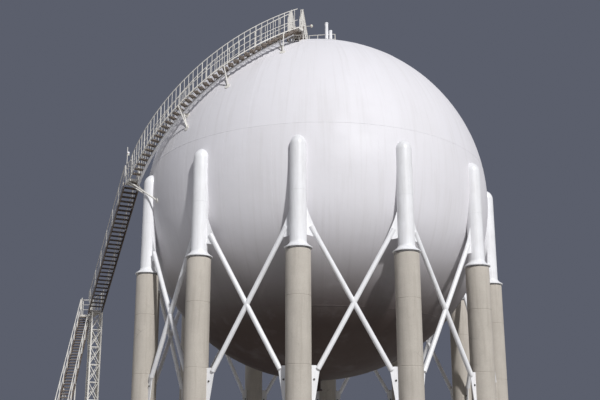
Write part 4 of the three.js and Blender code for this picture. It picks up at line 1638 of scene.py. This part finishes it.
@dataclass(frozen=True)
class StraightFlight(Flight):
    """A flight that climbs straight from one point of the plan to another."""

    bottom: Point2 = (0.0, 0.0)
    top: Point2 = (0.0, 0.0)

    def sides(self, share: float) -> tuple[Vector, Vector]:
        """The left and right side of the flight.

        Args:
            share: The share of its length, from its foot.

        Returns:
            A point of the left side and one of the right side.
        """
        foot, head = Vector((*self.bottom, self.low)), Vector((*self.top, self.high))
        heading = head - foot
        right = Vector((heading.y, -heading.x, 0.0)).normalized() * self.width / 2
        middle = foot.lerp(head, share)
        return middle - right, middle + right


@dataclass(frozen=True)
class CurvedFlight(Flight):
    """The flight that follows the sphere from the landing near the equator to the crown."""

    name: str = "curved"
    low: float = EQUATOR_LEVEL
    high: float = CROWN_LANDING_LEVEL
    width: float = 0.544
    risers: int = 39
    segments: int = 30
    left_band: Point2 = (-0.3, -0.12)
    right_band: Point2 = (-0.035, 0.02)
    left_steel: Finish = PIPE_ENAMEL
    right_steel: Finish = STAIR_PAINT
    # The treads take the lighter copy of the tread steel: painted light where the sun catches them.
    tread: Finish = LIT_POLISHED_STEEL
    baluster_every: int = 1
    ends: Point2 = (0.005, 0.99)
    looped: bool = False
    azimuths: ClassVar[list[float]] = [-61.3, -49.6, -36.6, -35.0, -7.3, -1.2]
    clearances: ClassVar[list[float]] = [0.594, 0.198, 0.198, 0.733]
    start: float = 0.94
    rise: float = 8.277
    chord: float = 0.05
    chord_inset: float = 0.06
    chord_drop: float = 0.25
    bracket: float = 0.034
    bracket_plate: float = 0.014
    bracket_pad: Fastener = Fastener(0.16, 0.03, 24)
    brackets: ClassVar[list[float]] = [0.4, 0.65, 0.92]
    bracket_foot: ClassVar[Point2] = (2.5, -5.5)

    def inner(self, share: float) -> Vector:
        """The side next to the shell.

        Args:
            share: The share of the flight's rise.

        Returns:
            The point there.
        """
        height = mix(self.low, self.high, share) - CENTRE_HEIGHT
        part = (height - self.start) / self.rise
        reach = SPHERE_RADIUS + bezier(self.clearances, part)
        distance = math.sqrt(reach**2 - height**2)
        return around(bezier(self.azimuths, part), distance, CENTRE_HEIGHT + height)

    def sides(self, share: float) -> tuple[Vector, Vector]:
        """The left and right side of the flight.

        Args:
            share: The share of its rise, from its foot.

        Returns:
            A point of the left side and one of the right side.
        """
        heading = self.inner(share + 0.01) - self.inner(share - 0.01)
        right = Vector((heading.y, -heading.x, 0.0)).normalized() * self.width
        left = self.inner(share)
        return left, left + right

    def chord_part(self) -> Part:
        """The round chord under the inner ends of the treads.

        Returns:
            The chord.
        """
        path = []
        for i in range(2 * self.segments + 1):
            left, right = self.sides(i / (2 * self.segments))
            path.append(left + (right - left).normalized() * self.chord_inset - UP * self.chord_drop)
        return Wires().bar(self.chord, *path).grown(PIPE_ENAMEL, 12)

    def bracket_parts(self) -> list[Part]:
        """The raking brackets that hold the flight off the shell, each with its pad.

        Returns:
            The bars, the plates and the pads.
        """
        bars, pads, plates = Wires(), Marks(), Shape()
        aside, down = self.bracket_foot
        for share in self.brackets:
            left, right = self.sides(share)
            left, right = left + UP * sum(self.left_band) / 2, right + UP * sum(self.right_band) / 2
            azimuth, latitude = bearing(left)
            foot = on_sphere(azimuth + aside, latitude + down, SPHERE_RADIUS - ROOTING)
            root = on_sphere(azimuth, latitude, SPHERE_RADIUS - ROOTING)
            for start, end in ((left, foot), (right, foot), (right, left)):
                bars.bar(self.bracket, start, end)
            pads.pad(foot, self.bracket_pad).pad(root, self.bracket_pad)
            level = Vector((root.x - left.x, root.y - left.y, 0.0)).normalized()
            corners = [(-0.05, left.z - 0.12), (-0.05, left.z + 0.12)]
            corners += [((root - left).length, root.z + lift) for lift in (0.05, -0.05)]
            plates.plate(corners, left, level, self.bracket_plate)
        steel = [bars.grown(STAIR_PAINT), plates.done(STAIR_PAINT)]
        return [*steel, pads.fasteners(self.bracket_pad, STAIR_PAINT)]


@dataclass
class Deck:
    """A level deck: chequered plate on joists in a frame of channel."""

    plan: Outline
    level: float
    heading: Vector = EAST
    depth: float = 0.12
    wall: float = 0.012
    joist_span: float = 0.45
    hole_steps: int = 12
    guard_inset: ClassVar[float] = 0.05
    joist: ClassVar[Outline] = [(-0.025, -0.1), (0.025, -0.1), (0.025, -0.01), (-0.025, -0.01)]
    plate: ClassVar[Point2] = (-0.0105, -0.0015)

    def parts(self, hole: tuple[Point2, float] | None = None) -> list[Part]:
        """The deck's frame, joists and plate.

        Args:
            hole: The centre and radius of a round hole through the plate.

        Returns:
            The parts.
        """
        inside = widened(self.plan, -self.wall)
        frame = Shape().collar(self.plan, inside, self.level - self.depth, self.level)
        rim = widened(self.plan, -self.wall / 2)
        lift = UP * self.level
        for start, end in crossings(rim, self.heading, self.joist_span):
            if hole is None or not self.meets(start, end, *hole):
                frame.sweep([start + lift, end + lift], self.joist)
        low, high = [self.level + face for face in self.plate]
        if hole is None:
            plate = Shape().prism(rim, low, high)
        else:
            plate = Shape().collar(*self.around_hole(rim, *hole), low, high)
        return [frame.done(STAIR_PAINT), plate.done(SHADED_TREAD_STEEL)]

    def meets(self, start: Vector, end: Vector, centre: Point2, radius: float) -> bool:
        """Whether a level bar between two points crosses a round hole."""
        middle = Vector((*centre, 0.0))
        return (intersect_point_line(middle, start, end)[0] - middle).length < radius + 0.03

    def around_hole(self, rim: Outline, centre: Point2, radius: float) -> tuple[Outline, Outline]:
        """The outlines of a plate round a hole.

        Args:
            rim: The plate's corners.
            centre: The hole's centre.
            radius: The hole's radius.

        Returns:
            The rim in short stretches, and a point of the hole's edge for each of them.
        """
        outer, inner = [], []
        for a, b in zip(rim, rim[1:] + rim[:1]):
            for share in [i / self.hole_steps for i in range(self.hole_steps)]:
                x, y = mix(a[0], b[0], share), mix(a[1], b[1], share)
                outer.append((x, y))
                angle = math.atan2(y - centre[1], x - centre[0])
                inner.append((centre[0] + radius * math.cos(angle), centre[1] + radius * math.sin(angle)))
        return outer, inner

    def guard_line(self) -> list[Vector]:
        """The line of a guard rail, from the plan's first corner."""
        return [Vector((x, y, self.level)) for x, y in widened(self.plan, -self.guard_inset)]


@dataclass
class StairWay(Assembly):
    """The whole way up: lower flight, tower, upper flight, landing, curved flight."""

    curved: CurvedFlight = CurvedFlight()
    upper: StraightFlight = StraightFlight(
        "upper", TOWER_LEVEL, EQUATOR_LEVEL, 0.82, 31, bottom=(-14.103, 2.265), top=(-9.973, -4.155)
    )
    lower: StraightFlight = StraightFlight(
        "lower", 0.0, TOWER_LEVEL, 0.65, 51, outer=Side.LEFT, ends=(0.012, 0.99),
        bottom=(-12.155, -8.114), top=(-15.408, 4.019),
    )
    lower_joint: int = 26
    foot_plate: float = 0.012
    trestle_foot: float = 0.16
    trestle_angle: Point2 = (0.075, 0.008)
    trestle_panels: ClassVar[list[Point2]] = [(0.05, 0.5), (0.5, 0.95)]
    trestle_brace: float = 0.018
    trestle_strut: float = 0.022
    trestle_bolt: Fastener = Fastener(0.018, 0.03)
    equator_plan: ClassVar[Outline] = [
        (-10.259, -4.465), (-9.688, -3.846), (-9.3, -4.853), (-9.732, -5.184),
    ]
    equator_heading: ClassVar[Vector] = Vector((1.0, 1.1, 0.0))
    equator_strut: Point2 = (-54.0, -4.6)
    leg_strut_height: float = 14.9
    leg_strut_azimuth: float = 300.0
    leg_radius: float = 0.4
    leg_strut: float = 0.036
    shell_strut: float = 0.04
    strut_pad: Fastener = Fastener(0.13, 0.03, 20)
    tower_plan: ClassVar[Outline] = [
        (-13.758, 2.487), (-15.273, 4.842), (-15.955, 4.805), (-15.722, 3.935), (-15.036, 4.119),
        (-14.448, 2.043),
    ]
    tower_heading: ClassVar[Vector] = Vector((0.84, 0.54, 0.0))
    tower_centre: Point2 = (-14.1, 2.49)
    tower_size: float = 0.62
    tower_panels: int = 9
    tower_top: float = TOWER_LEVEL - 0.121
    tower_foot: float = 0.17
    tower_angle: Point2 = (0.08, 0.008)
    tower_bolt: Fastener = Fastener(0.02, 0.03)
    panel_gap: float = 0.04
    lattice_bar: float = 0.023
    lattice_strut: float = 0.026
    knee: float = 0.75
    knee_bar: float = 0.038

    def build_curved(self) -> None:
        """Makes the curved flight and its two rails."""
        flight = self.curved
        parts = [*flight.treads(), *flight.stringers(), flight.chord_part(), *flight.bracket_parts()]
        self.shop.piece("curved_flight_steps", parts, Slot.TREAD, "curved_flight")
        flight.build_rails(self.shop)

    def build_upper(self) -> None:
        """Makes the upper straight flight and its two rails."""
        steps = [*self.upper.treads(), *self.upper.stringers()]
        self.shop.piece("upper_flight_steps", steps, Slot.TREAD, "upper_flight")
        self.upper.build_rails(self.shop)

    def build_lower(self) -> None:
        """Makes the two halves of the lower straight flight, its trestle and its rails."""
        flight, joint = self.lower, self.lower_joint
        share = joint / flight.risers
        foot = [*flight.treads(1, joint), *flight.stringers(0.0, share)]
        self.shop.piece("lower_flight_foot_steps", foot, Slot.TREAD, "lower_flight_foot")
        head = [*flight.treads(joint), *flight.stringers(share + CLEARANCE), *self.trestle()]
        self.shop.piece("lower_flight_head_steps", head, Slot.TREAD, "lower_flight_head")
        flight.build_rails(self.shop)

    def trestle(self) -> list[Part]:
        """The braced trestle under the middle of the lower flight.

        Returns:
            The posts, their braces and the bolts of their feet.
        """
        left, right = self.lower.sides((self.lower_joint + 1) / self.lower.risers)
        top, base = left.z + self.lower.left_band[0] / 2, self.foot_plate
        steel, braces, feet = Shape(), Wires(), Marks()
        across = (right - left).normalized()
        for post, inward in ((left, across), (right, -across)):
            ground = Vector((post.x, post.y, base))
            heel = ground - inward * 0.035
            steel.angle_bar(heel, heel + UP * (top - base), *self.trestle_angle, inward)
            steel.prism(square(ground, self.trestle_foot, across), 0.0, base)
            feet.add(ground + inward * 0.045 + UP * 0.015, UP)
        for low, high in self.trestle_panels:
            for a, b in ((left, right), (right, left)):
                start, end = Vector((a.x, a.y, top * low)), Vector((b.x, b.y, top * high))
                braces.bar(self.trestle_brace, start, end)
            level = [Vector((side.x, side.y, top * high)) for side in (left, right)]
            braces.bar(self.trestle_strut, *level)
        steel_parts = [steel.done(STAIR_PAINT), braces.grown(STAIR_PAINT, 8)]
        return [*steel_parts, feet.fasteners(self.trestle_bolt)]

    def build_equator(self) -> None:
        """Makes the small landing near the equator, with its rails, struts and lamp mast."""
        deck = Deck(self.equator_plan, EQUATOR_LEVEL, self.equator_heading)
        outer_head, inner_head, inner_foot, outer_foot = deck.guard_line()
        parts = deck.parts()
        for start, end in ((outer_head, outer_foot), (inner_head, inner_foot)):
            parts += RAILING.guard([start, start.lerp(end, 0.9)], 0.6)
        struts, pads = Wires(), Marks()
        drop = UP * deck.depth / 2
        shell_foot = on_sphere(*self.equator_strut, SPHERE_RADIUS - ROOTING)
        struts.bar(self.shell_strut, outer_head.lerp(outer_foot, 0.6) - drop, shell_foot)
        pads.pad(shell_foot, self.strut_pad)
        leg = around(self.leg_strut_azimuth, SPHERE_RADIUS, self.leg_strut_height)
        for head, foot in ((outer_head, outer_foot), (inner_head, inner_foot)):
            start = head.lerp(foot, 0.25) - drop
            way = (leg - start).normalized()
            face = leg - way * self.leg_radius
            struts.bar(self.leg_strut, start, face + way * ROOTING)
            pads.add(face, way)
        parts.append(struts.grown(STAIR_PAINT))
        parts.append(pads.fasteners(self.strut_pad, STAIR_PAINT))
        parts += MastLamp().parts(outer_head)
        self.shop.piece("equator_landing_deck", parts, Slot.STAIR, "equator_landing")

    def tower_corners(self) -> list[Vector]:
        """The four corners of the tower in plan, square to the upper flight."""
        along = Vector(self.upper.bottom) - Vector(self.upper.top)
        return [Vector((*xy, 0.0)) for xy in square(Vector(self.tower_centre), self.tower_size, along)]

    def lattice(self) -> list[Part]:
        """The legs of the tower, its lattice and the bolts of its feet.

        Returns:
            The parts of the piece.
        """
        corners = self.tower_corners()
        centre = Vector((*self.tower_centre, 0.0))
        base, gap, count = self.foot_plate, self.panel_gap, self.tower_panels
        steel, bars, bolts = Shape(), Wires(), Marks()
        for corner in corners:
            inward = (centre - corner).normalized()
            heel = corner - inward * 0.05
            steel.angle_bar(heel + UP * base, heel + UP * self.tower_top, *self.tower_angle, inward)
            steel.prism(square(corner, self.tower_foot, corners[1] - corners[0]), 0.0, base)
            bolts.add(corner - inward * 0.06 + UP * 0.02, UP)
        for corner, after in zip(corners, corners[1:] + corners[:1]):
            for panel in range(count):
                low = UP * mix(gap, self.tower_top, panel / count)
                high = UP * mix(gap, self.tower_top - gap, (panel + 1) / count)
                bars.bar(self.lattice_bar, corner + low, after + high)
                bars.bar(self.lattice_bar, after + low, corner + high)
                bars.bar(self.lattice_strut, corner + high, after + high)
        return [steel.done(STAIR_PAINT), bars.grown(STAIR_PAINT, 8), bolts.fasteners(self.tower_bolt)]

    def tower_landing(self) -> list[Part]:
        """The landing on top of the tower, with its guards and the knees under its far end.

        Returns:
            The parts of the piece.
        """
        deck = Deck(self.tower_plan, TOWER_LEVEL, self.tower_heading)
        line = deck.guard_line()
        parts = deck.parts() + RAILING.guard(line[:4]) + RAILING.guard(line[4:])
        far = (Vector(self.tower_plan[1]) + Vector(self.tower_plan[3])).to_3d() / 2
        end = far + UP * (TOWER_LEVEL - 0.06)
        knees = Wires()
        for corner in self.tower_corners()[::2]:
            start = corner + UP * self.knee * (self.tower_top - 0.08)
            knees.bar(self.knee_bar, start.lerp(end, 0.045 / (end - start).length), end)
        return [*parts, knees.grown(STAIR_PAINT)]

    def build(self) -> None:
        """Makes every piece of the way up, from the ground."""
        self.build_lower()
        self.shop.piece("stair_tower_lattice", self.lattice(), Slot.STAIR, "stair_tower")
        self.shop.piece("tower_landing_deck", self.tower_landing(), Slot.STAIR, "tower_landing")
        self.build_upper()
        self.build_equator()
        self.build_curved()


@dataclass
class MastLamp:
    """A lamp mast with a well glass under a hood."""

    height: float = 2.1
    pole: float = 0.02
    drop: float = 0.42
    offset: float = 0.06
    sides: int = 20
    hood: ClassVar[Outline] = [(0.0, 0.14), (0.05, 0.13), (0.075, 0.06), (0.075, 0.045), (0.0, 0.045)]
    glass: ClassVar[Outline] = [(0.0, 0.05), (0.055, 0.05), (0.06, -0.03), (0.04, -0.09), (0.0, -0.105)]

    def parts(self, foot: Vector) -> list[Part]:
        """The lamp on its mast.

        Args:
            foot: Where the mast stands.

        Returns:
            The mast, its hood and its glass.
        """
        level = foot.z + self.height - self.drop
        at = (foot.x + self.offset, foot.y)
        return [
            Wires().bar(self.pole, foot - UP * 0.05, foot + UP * self.height).grown(STAIR_PAINT),
            Shape().lathe(raised(self.hood, level), self.sides, at).done(PIPE_ENAMEL),
            Shape().lathe(raised(self.glass, level), self.sides, at).done(OPAL, 50),
        ]


@dataclass
class GlobeLamp:
    """A globe on a level arm that leaves a rail."""

    reach: float = 0.33
    radius: float = 0.095
    arm: float = 0.018
    holder: float = 0.045
    sides: int = 24
    rows: int = 12

    def parts(self, root: Vector) -> list[Part]:
        """The lamp with its arm.

        Args:
            root: Where the arm leaves the rail.

        Returns:
            The arm with its holder, and the globe.
        """
        tip = root + EAST * self.reach
        size = self.radius * 0.96
        steel = Wires().bar(self.arm, root, tip)
        steel.bar(self.holder, tip - UP * self.radius * 0.2, tip + UP * self.radius * 0.85)
        turns = [math.pi * (row / self.rows - 0.5) for row in range(1, self.rows)]
        ball = [(size * math.cos(turn), size * math.sin(turn)) for turn in turns]
        globe = raised([(0.0, -size), *ball, (0.0, size)], tip.z)
        return [
            steel.grown(STAIR_PAINT, 12),
            Shape().lathe(globe, self.sides, (tip.x, tip.y)).done(OPAL, 50),
        ]


@dataclass
class Crown(Assembly):
    """What stands on the crown: landing, steps, gangway, platform, manway and vents."""

    steps: StraightFlight = StraightFlight(
        "crown", CROWN_LANDING_LEVEL, CROWN_LEVEL, 0.7, 9, bottom=(-0.66, -5.65), top=(-0.66, -3.65)
    )
    landing_plan: ClassVar[Outline] = [
        (-0.653, -6.261), (-0.255, -6.632), (-0.06, -6.42), (-0.31, -5.65), (-1.01, -5.65),
    ]
    front: float = -0.6
    platform: ClassVar[Outline] = [(-1.4, -0.6), (1.4, -0.6), (1.4, 2.6), (-1.4, 2.6)]
    inset: float = 0.06
    strut: float = 0.04
    leg: float = 0.042
    rail_inset: float = 0.025
    rail_bend: float = 0.1
    rail_span: float = 0.3
    lamp_at: float = -1.7
    walkway_pad: Fastener = Fastener(0.11, 0.025, 20)
    platform_pad: Fastener = Fastener(0.12, 0.03, 20)
    manway: Point2 = (0.65, 1.1)
    manway_top: float = 25.8
    manway_root: float = 0.06
    manway_bolts: tuple[int, float] = (16, 0.365)
    manway_nut: Fastener = Fastener(0.02, 0.022)
    manway_stud: Fastener = Fastener(0.011, 0.17, 8)
    handle: ClassVar[Outline] = [(-0.09, -0.01), (-0.09, 0.07), (0.09, 0.07), (0.09, -0.01)]
    handle_bar: float = 0.011
    davit: ClassVar[Outline] = [(0.44, -0.14), (0.44, 0.28), (0.0, 0.28), (0.0, 0.06)]
    davit_pipe: float = 0.021
    hatch: float = 0.45
    hatch_wall: float = 0.012
    neck_foot: ClassVar[Outline] = [(0.0, 0.0), (0.345, 0.0), (0.345, 0.085), (0.3, 0.105)]
    neck_flange: ClassVar[Outline] = [
        (0.3, -0.12), (0.395, -0.12), (0.4, -0.115), (0.4, -0.07), (0.0, -0.07),
    ]
    cover: ClassVar[Outline] = [
        (0.0, -0.068), (0.335, -0.068), (0.335, -0.06), (0.4, -0.06), (0.4, -0.015), (0.395, -0.01),
        (0.3, -0.01), (0.22, 0.0), (0.0, 0.006),
    ]
    vents: ClassVar[list[tuple[Point2, float]]] = [((0.979, -2.901), 25.91), ((1.209, -2.883), 25.402)]
    vent_foot: ClassVar[Outline] = [
        (0.0, -0.1), (0.125, -0.1), (0.125, 0.03), (0.095, 0.05), (0.095, 0.17), (0.108, 0.172),
        (0.108, 0.2), (0.095, 0.202),
    ]
    vent_mouth: ClassVar[Outline] = [
        (0.095, -0.07), (0.107, -0.06), (0.107, -0.008), (0.1, 0.0), (0.078, 0.0), (0.078, -0.12),
        (0.0, -0.12),
    ]
    vent_bolts: tuple[int, float] = (8, 0.1)
    vent_bolt: Fastener = Fastener(0.011, 0.05)
    header: float = 0.056
    header_level: float = 24.815

    def build_walkway(self) -> None:
        """Makes the landing, the steps and the gangway, on struts from the shell."""
        x, y = self.steps.top
        half = self.steps.width / 2
        end = self.front - CLEARANCE
        gangway = [(x - half, y), (x + half, y), (x + half, end), (x - half, end)]
        parts = [*self.steps.treads(), *self.steps.stringers()]
        parts += Deck(self.landing_plan, CROWN_LANDING_LEVEL).parts() + Deck(gangway, CROWN_LEVEL).parts()
        struts, pads = Wires(), Marks()
        for row, level in (
            (self.steps.bottom[1] - self.inset, CROWN_LANDING_LEVEL),
            (y + self.inset, CROWN_LEVEL),
            (y / 2, CROWN_LEVEL),
        ):
            for column in (x - half + self.inset, x + half - self.inset):
                top = Vector((column, row, level - 0.06))
                foot = on_sphere(*bearing(top), SPHERE_RADIUS - ROOTING)
                struts.bar(self.strut, top, foot)
                pads.pad(foot, self.walkway_pad)
        parts.append(struts.grown(STAIR_PAINT))
        parts.append(pads.fasteners(self.walkway_pad, STAIR_PAINT))
        self.shop.piece("crown_walkway_decks", parts, Slot.STAIR, "crown_walkway")

    def walkway_rail(self, path: Sequence[Vector]) -> Part:
        """A rail of the walkway.

        Args:
            path: The line that it stands on.

        Returns:
            The rail.
        """
        wires = Wires()
        for thick, height in ((RAILING.rail, RAILING.height), (RAILING.bar, RAILING.knee)):
            wires.bar(thick, *rounded([point + UP * height for point in path], self.rail_bend))
        for point in spaced(path, self.rail_span):
            wires.bar(RAILING.upright, point - UP * 0.05, point + UP * (RAILING.height - 0.004))
        return wires.grown(STAIR_PAINT, 8)

    def build_rails(self) -> None:
        """Makes the two rails of the walkway, with the globe on the outer one."""
        x, y = self.steps.top
        edge = self.steps.width / 2 - self.rail_inset
        landing = Deck(self.landing_plan, CROWN_LANDING_LEVEL).guard_line()
        outer, inner = [
            [
                Vector((column, self.steps.bottom[1], CROWN_LANDING_LEVEL)),
                Vector((column, y, CROWN_LEVEL)),
                Vector((column, self.front - 0.09, CROWN_LEVEL)),
            ]
            for column in (x + edge, x - edge)
        ]
        outer = [landing[1].lerp(landing[2], 0.5), landing[2], *outer]
        root = Vector((x + edge, self.lamp_at, CROWN_LEVEL + RAILING.height))
        parts = [self.walkway_rail(outer), *GlobeLamp().parts(root)]
        self.shop.piece("crown_outer_rail_tubes", parts, Slot.STAIR, "crown_outer_rail")
        parts = [self.walkway_rail(inner)]
        self.shop.piece("crown_inner_rail_tubes", parts, Slot.STAIR, "crown_inner_rail")

    def build_platform(self) -> None:
        """Makes the platform with its short legs and its railing round the manway."""
        deck = Deck(self.platform, CROWN_LEVEL)
        parts = deck.parts((self.manway, self.hatch + 0.01))
        inner, outer = self.hatch, self.hatch + self.hatch_wall
        ring = raised([(inner, 0.02), (outer, 0.02), (outer, -0.06), (inner, -0.06)], CROWN_LEVEL)
        parts.append(Shape().lathe([*ring, ring[0]], 48, self.manway).done(STAIR_PAINT))
        legs, pads = Wires(), Marks()
        for x, y in widened(deck.plan, -self.inset):
            foot = Vector((x, y, shell_height(x, y)))
            legs.bar(self.leg, foot - UP * ROOTING, Vector((x, y, CROWN_LEVEL - 0.05)))
            pads.add(foot + UP * 0.012, outward(foot))
        guard = deck.guard_line()
        gate = self.steps.width / 2 + self.inset
        ends = [Vector((self.steps.top[0] + half, guard[0].y, CROWN_LEVEL)) for half in (gate, -gate)]
        parts += RAILING.guard([ends[0], *guard[1:], guard[0], ends[1]], 0.8)
        parts.append(legs.grown(STAIR_PAINT, 14))
        parts.append(pads.fasteners(self.platform_pad, STAIR_PAINT))
        self.shop.piece("crown_platform_deck", parts, Slot.STAIR, "crown_platform")

    def build_manway(self) -> None:
        """Makes the manway: neck, two flanges, domed cover, bolts, handle and davit."""
        x, y = self.manway
        axis, top = Vector((x, y, self.manway_top)), self.manway_top
        base = shell_height(x, y) - self.manway_root
        neck = raised(self.neck_foot, base) + raised(self.neck_flange, top)
        steel = Shape().lathe(neck, 48, self.manway).lathe(raised(self.cover, top), 48, self.manway)
        bolts = self.manway_bolts
        nuts = Marks().circle(*bolts, axis - UP * 0.005).circle(*bolts, axis - UP * 0.132)
        studs = Marks().circle(*bolts, axis - UP * 0.06)
        handle = [axis + EAST * across + UP * lift for across, lift in self.handle]
        davit = [axis + Vector((0.0, back, lift)) for back, lift in self.davit]
        fittings = Wires().bar(self.handle_bar, *rounded(handle, 0.03, 4))
        fittings.bar(self.davit_pipe, *rounded(davit, 0.1))
        parts = [steel.done(SHELL_PAINT), nuts.fasteners(self.manway_nut)]
        parts += [studs.fasteners(self.manway_stud), fittings.grown(PIPE_ENAMEL)]
        self.shop.piece("top_manway_cover", parts, Slot.SHELL, "top_manway")

    def build_vents(self) -> None:
        """Makes the two relief vents on their flanged stubs, joined by the header."""
        steel, bolts = Shape(), Marks()
        for at, top in self.vents:
            base = shell_height(*at)
            steel.lathe(raised(self.vent_foot, base) + raised(self.vent_mouth, top), 32, at)
            bolts.circle(*self.vent_bolts, Vector((*at, base + 0.186)))
        header = Wires().bar(self.header, *[Vector((*at, self.header_level)) for at, _ in self.vents])
        pipes = [steel.done(PIPE_ENAMEL), header.grown(PIPE_ENAMEL, 20)]
        parts = [*pipes, bolts.fasteners(self.vent_bolt)]
        self.shop.piece("relief_vent_pipes", parts, Slot.PIPE, "relief_vents")

    def build(self) -> None:
        """Makes every piece on the crown."""
        self.build_walkway()
        self.build_rails()
        self.build_platform()
        self.build_manway()
        self.build_vents()


@dataclass
class BottomOutlet(Assembly):
    """The outlet nozzle under the sphere: its pad, neck, flange and bolts."""

    neck: float = 0.255
    flange: float = 0.35
    bottom: float = 4.76
    thickness: float = 0.07
    pad: float = 0.1
    bore: float = 0.215
    face: float = 0.285
    face_rise: float = 0.004
    bolts: int = 12
    bolt_circle: float = 0.318
    nut: Fastener = Fastener(0.022, 0.026)
    stud: Fastener = Fastener(0.012, 0.07, 8)

    def build(self) -> None:
        """Makes the nozzle's piece."""
        shell = CENTRE_HEIGHT - SPHERE_RADIUS
        low, high = self.bottom, self.bottom + self.thickness
        rim, neck, pad = self.flange, self.neck, self.neck + self.pad
        bore, face, edge = self.bore, self.face, self.face_rise
        profile = [(0.0, low + 0.03), (bore, low + 0.03), (bore, low), (face, low), (face, low + edge)]
        profile += [(rim - edge, low + edge), (rim, low + 2 * edge), (rim, high - edge)]
        profile += [(rim - edge, high), (neck + 0.025, high), (neck, high + 0.06)]
        profile += [(neck, shell - 0.05), (pad, shell - 0.02), (pad, shell + 0.03), (0.0, shell + 0.03)]
        first = 180 / self.bolts
        nuts = Marks().circle(self.bolts, self.bolt_circle, UP * (high + 0.014), first)
        studs = Marks().circle(self.bolts, self.bolt_circle, UP * (high + 0.008), first)
        fasteners = [nuts.fasteners(self.nut), studs.fasteners(self.stud)]
        parts = [Shape().lathe(profile, 48).done(SHELL_PAINT), *fasteners]
        self.shop.piece("bottom_outlet_nozzle", parts, Slot.SHELL, "bottom_outlet")


# The stage


@dataclass(frozen=True)
class Sun:
    """A far lamp: where it stands, seen from the tank, and how strong and how wide it is."""

    name: str
    azimuth: float
    elevation: float
    energy: float
    width: float
    distance: ClassVar[float] = 60.0

    def hang(self) -> None:
        """Adds the lamp to the scene."""
        lamp = bpy.data.lights.new(self.name, "SUN")
        lamp.energy = self.energy
        lamp.angle = math.radians(self.width)
        hung = add_object(self.name, lamp)
        tilt = math.radians(self.elevation)
        aim = around(self.azimuth, math.cos(tilt), math.sin(tilt))
        hung.rotation_euler = aim.to_track_quat("Z", "Y").to_euler()
        hung.location = aim * self.distance


@dataclass
class Studio:
    """A plain pale floor, soft light, and a camera with the photo's view of the tank."""

    camera_distance: float = 44.59
    camera_height: float = 2.172
    frame_turn: float = 4.52
    yaw: float = -3.09
    pitch: float = 12.84
    roll: float = 0.30
    focal_pixels: float = 779.7
    middle_column: float = 274.3
    middle_row: float = 260.0
    photo_width: int = 600
    photo_height: int = 400
    sensor: float = 36.0
    floor_half: float = 400.0
    sky: str = "#ADB4CB"
    sky_strength: float = 0.25
    suns: ClassVar[list[Sun]] = [
        Sun("key", 32, 38, 3.1, 2.5),
        Sun("fill", -75, 30, 0.1, 60.0),
        Sun("back", 200, 18, 0.6, 60.0),
    ]

    def floor(self) -> None:
        """Lays the floor."""
        reach = self.floor_half
        mesh = bpy.data.meshes.new("floor")
        mesh.from_pydata([(x * reach, y * reach, 0) for x, y in CORNERS], [], [(0, 1, 2, 3)])
        mesh.materials.append(FLOOR.material())
        add_object("floor", mesh)

    def light(self) -> None:
        """Hangs a key light at the front right, weak fills at the left and behind, and a pale surround."""
        for sun in self.suns:
            sun.hang()
        world = bpy.data.worlds.new("surround")
        world.use_nodes = True
        back = world.node_tree.nodes["Background"]
        back.inputs["Color"].default_value = linear(self.sky)
        back.inputs["Strength"].default_value = self.sky_strength
        bpy.context.scene.world = world
        bpy.context.scene.view_settings.view_transform = "Standard"

    def camera(self) -> None:
        """Stands the camera where the fit of the photo puts it."""
        lens = bpy.data.cameras.new("camera")
        lens.sensor_width = self.sensor
        lens.lens = self.focal_pixels * self.sensor / self.photo_width
        lens.shift_x = (self.photo_width / 2 - self.middle_column) / self.photo_width
        lens.shift_y = (self.middle_row - self.photo_height / 2) / self.photo_width
        lens.clip_end = 1000.0
        stand = around(self.frame_turn, self.camera_distance, self.camera_height) + AXIS
        turn = Matrix.Rotation(math.radians(self.frame_turn - self.yaw), 4, "Z")
        tilt = Matrix.Rotation(math.radians(90 + self.pitch), 4, "X")
        lean = Matrix.Rotation(math.radians(self.roll), 4, "Z")
        stood = add_object("camera", lens)
        stood.matrix_world = Matrix.Translation(stand) @ turn @ tilt @ lean
        bpy.context.scene.camera = stood


def main() -> None:
    """Builds the tank's looks in the frame."""
    logging.basicConfig(level=logging.INFO, format="%(name)s %(message)s")
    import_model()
    low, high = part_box("shell_equator_belt")
    if ((low + high) / 2 - AXIS).to_2d().length > 0.001:
        log.warning("the frame's sphere isn't where this script has it")

    studio = Studio()
    studio.camera()
    studio.light()
    studio.floor()

    shop = Workshop(AXIS)
    for assembly in (
        ShellZone(shop, "shell_bottom_crown", -ShellZone.pole, LOWER_SEAM),
        ShellZone(shop, "shell_equator_belt", LOWER_SEAM, UPPER_SEAM, PETALS, 180 / PETALS),
        ShellZone(shop, "shell_upper_zone", UPPER_SEAM, TOP_SEAM, PETALS),
        ShellZone(shop, "shell_top_crown", TOP_SEAM, ShellZone.pole),
        Legs(shop),
        Braces(shop),
        StairWay(shop),
        Crown(shop),
        BottomOutlet(shop),
    ):
        assembly.build()
    shop.tidy()
    log.info("%d pieces", shop.count)


if __name__ == "__main__":
    main()
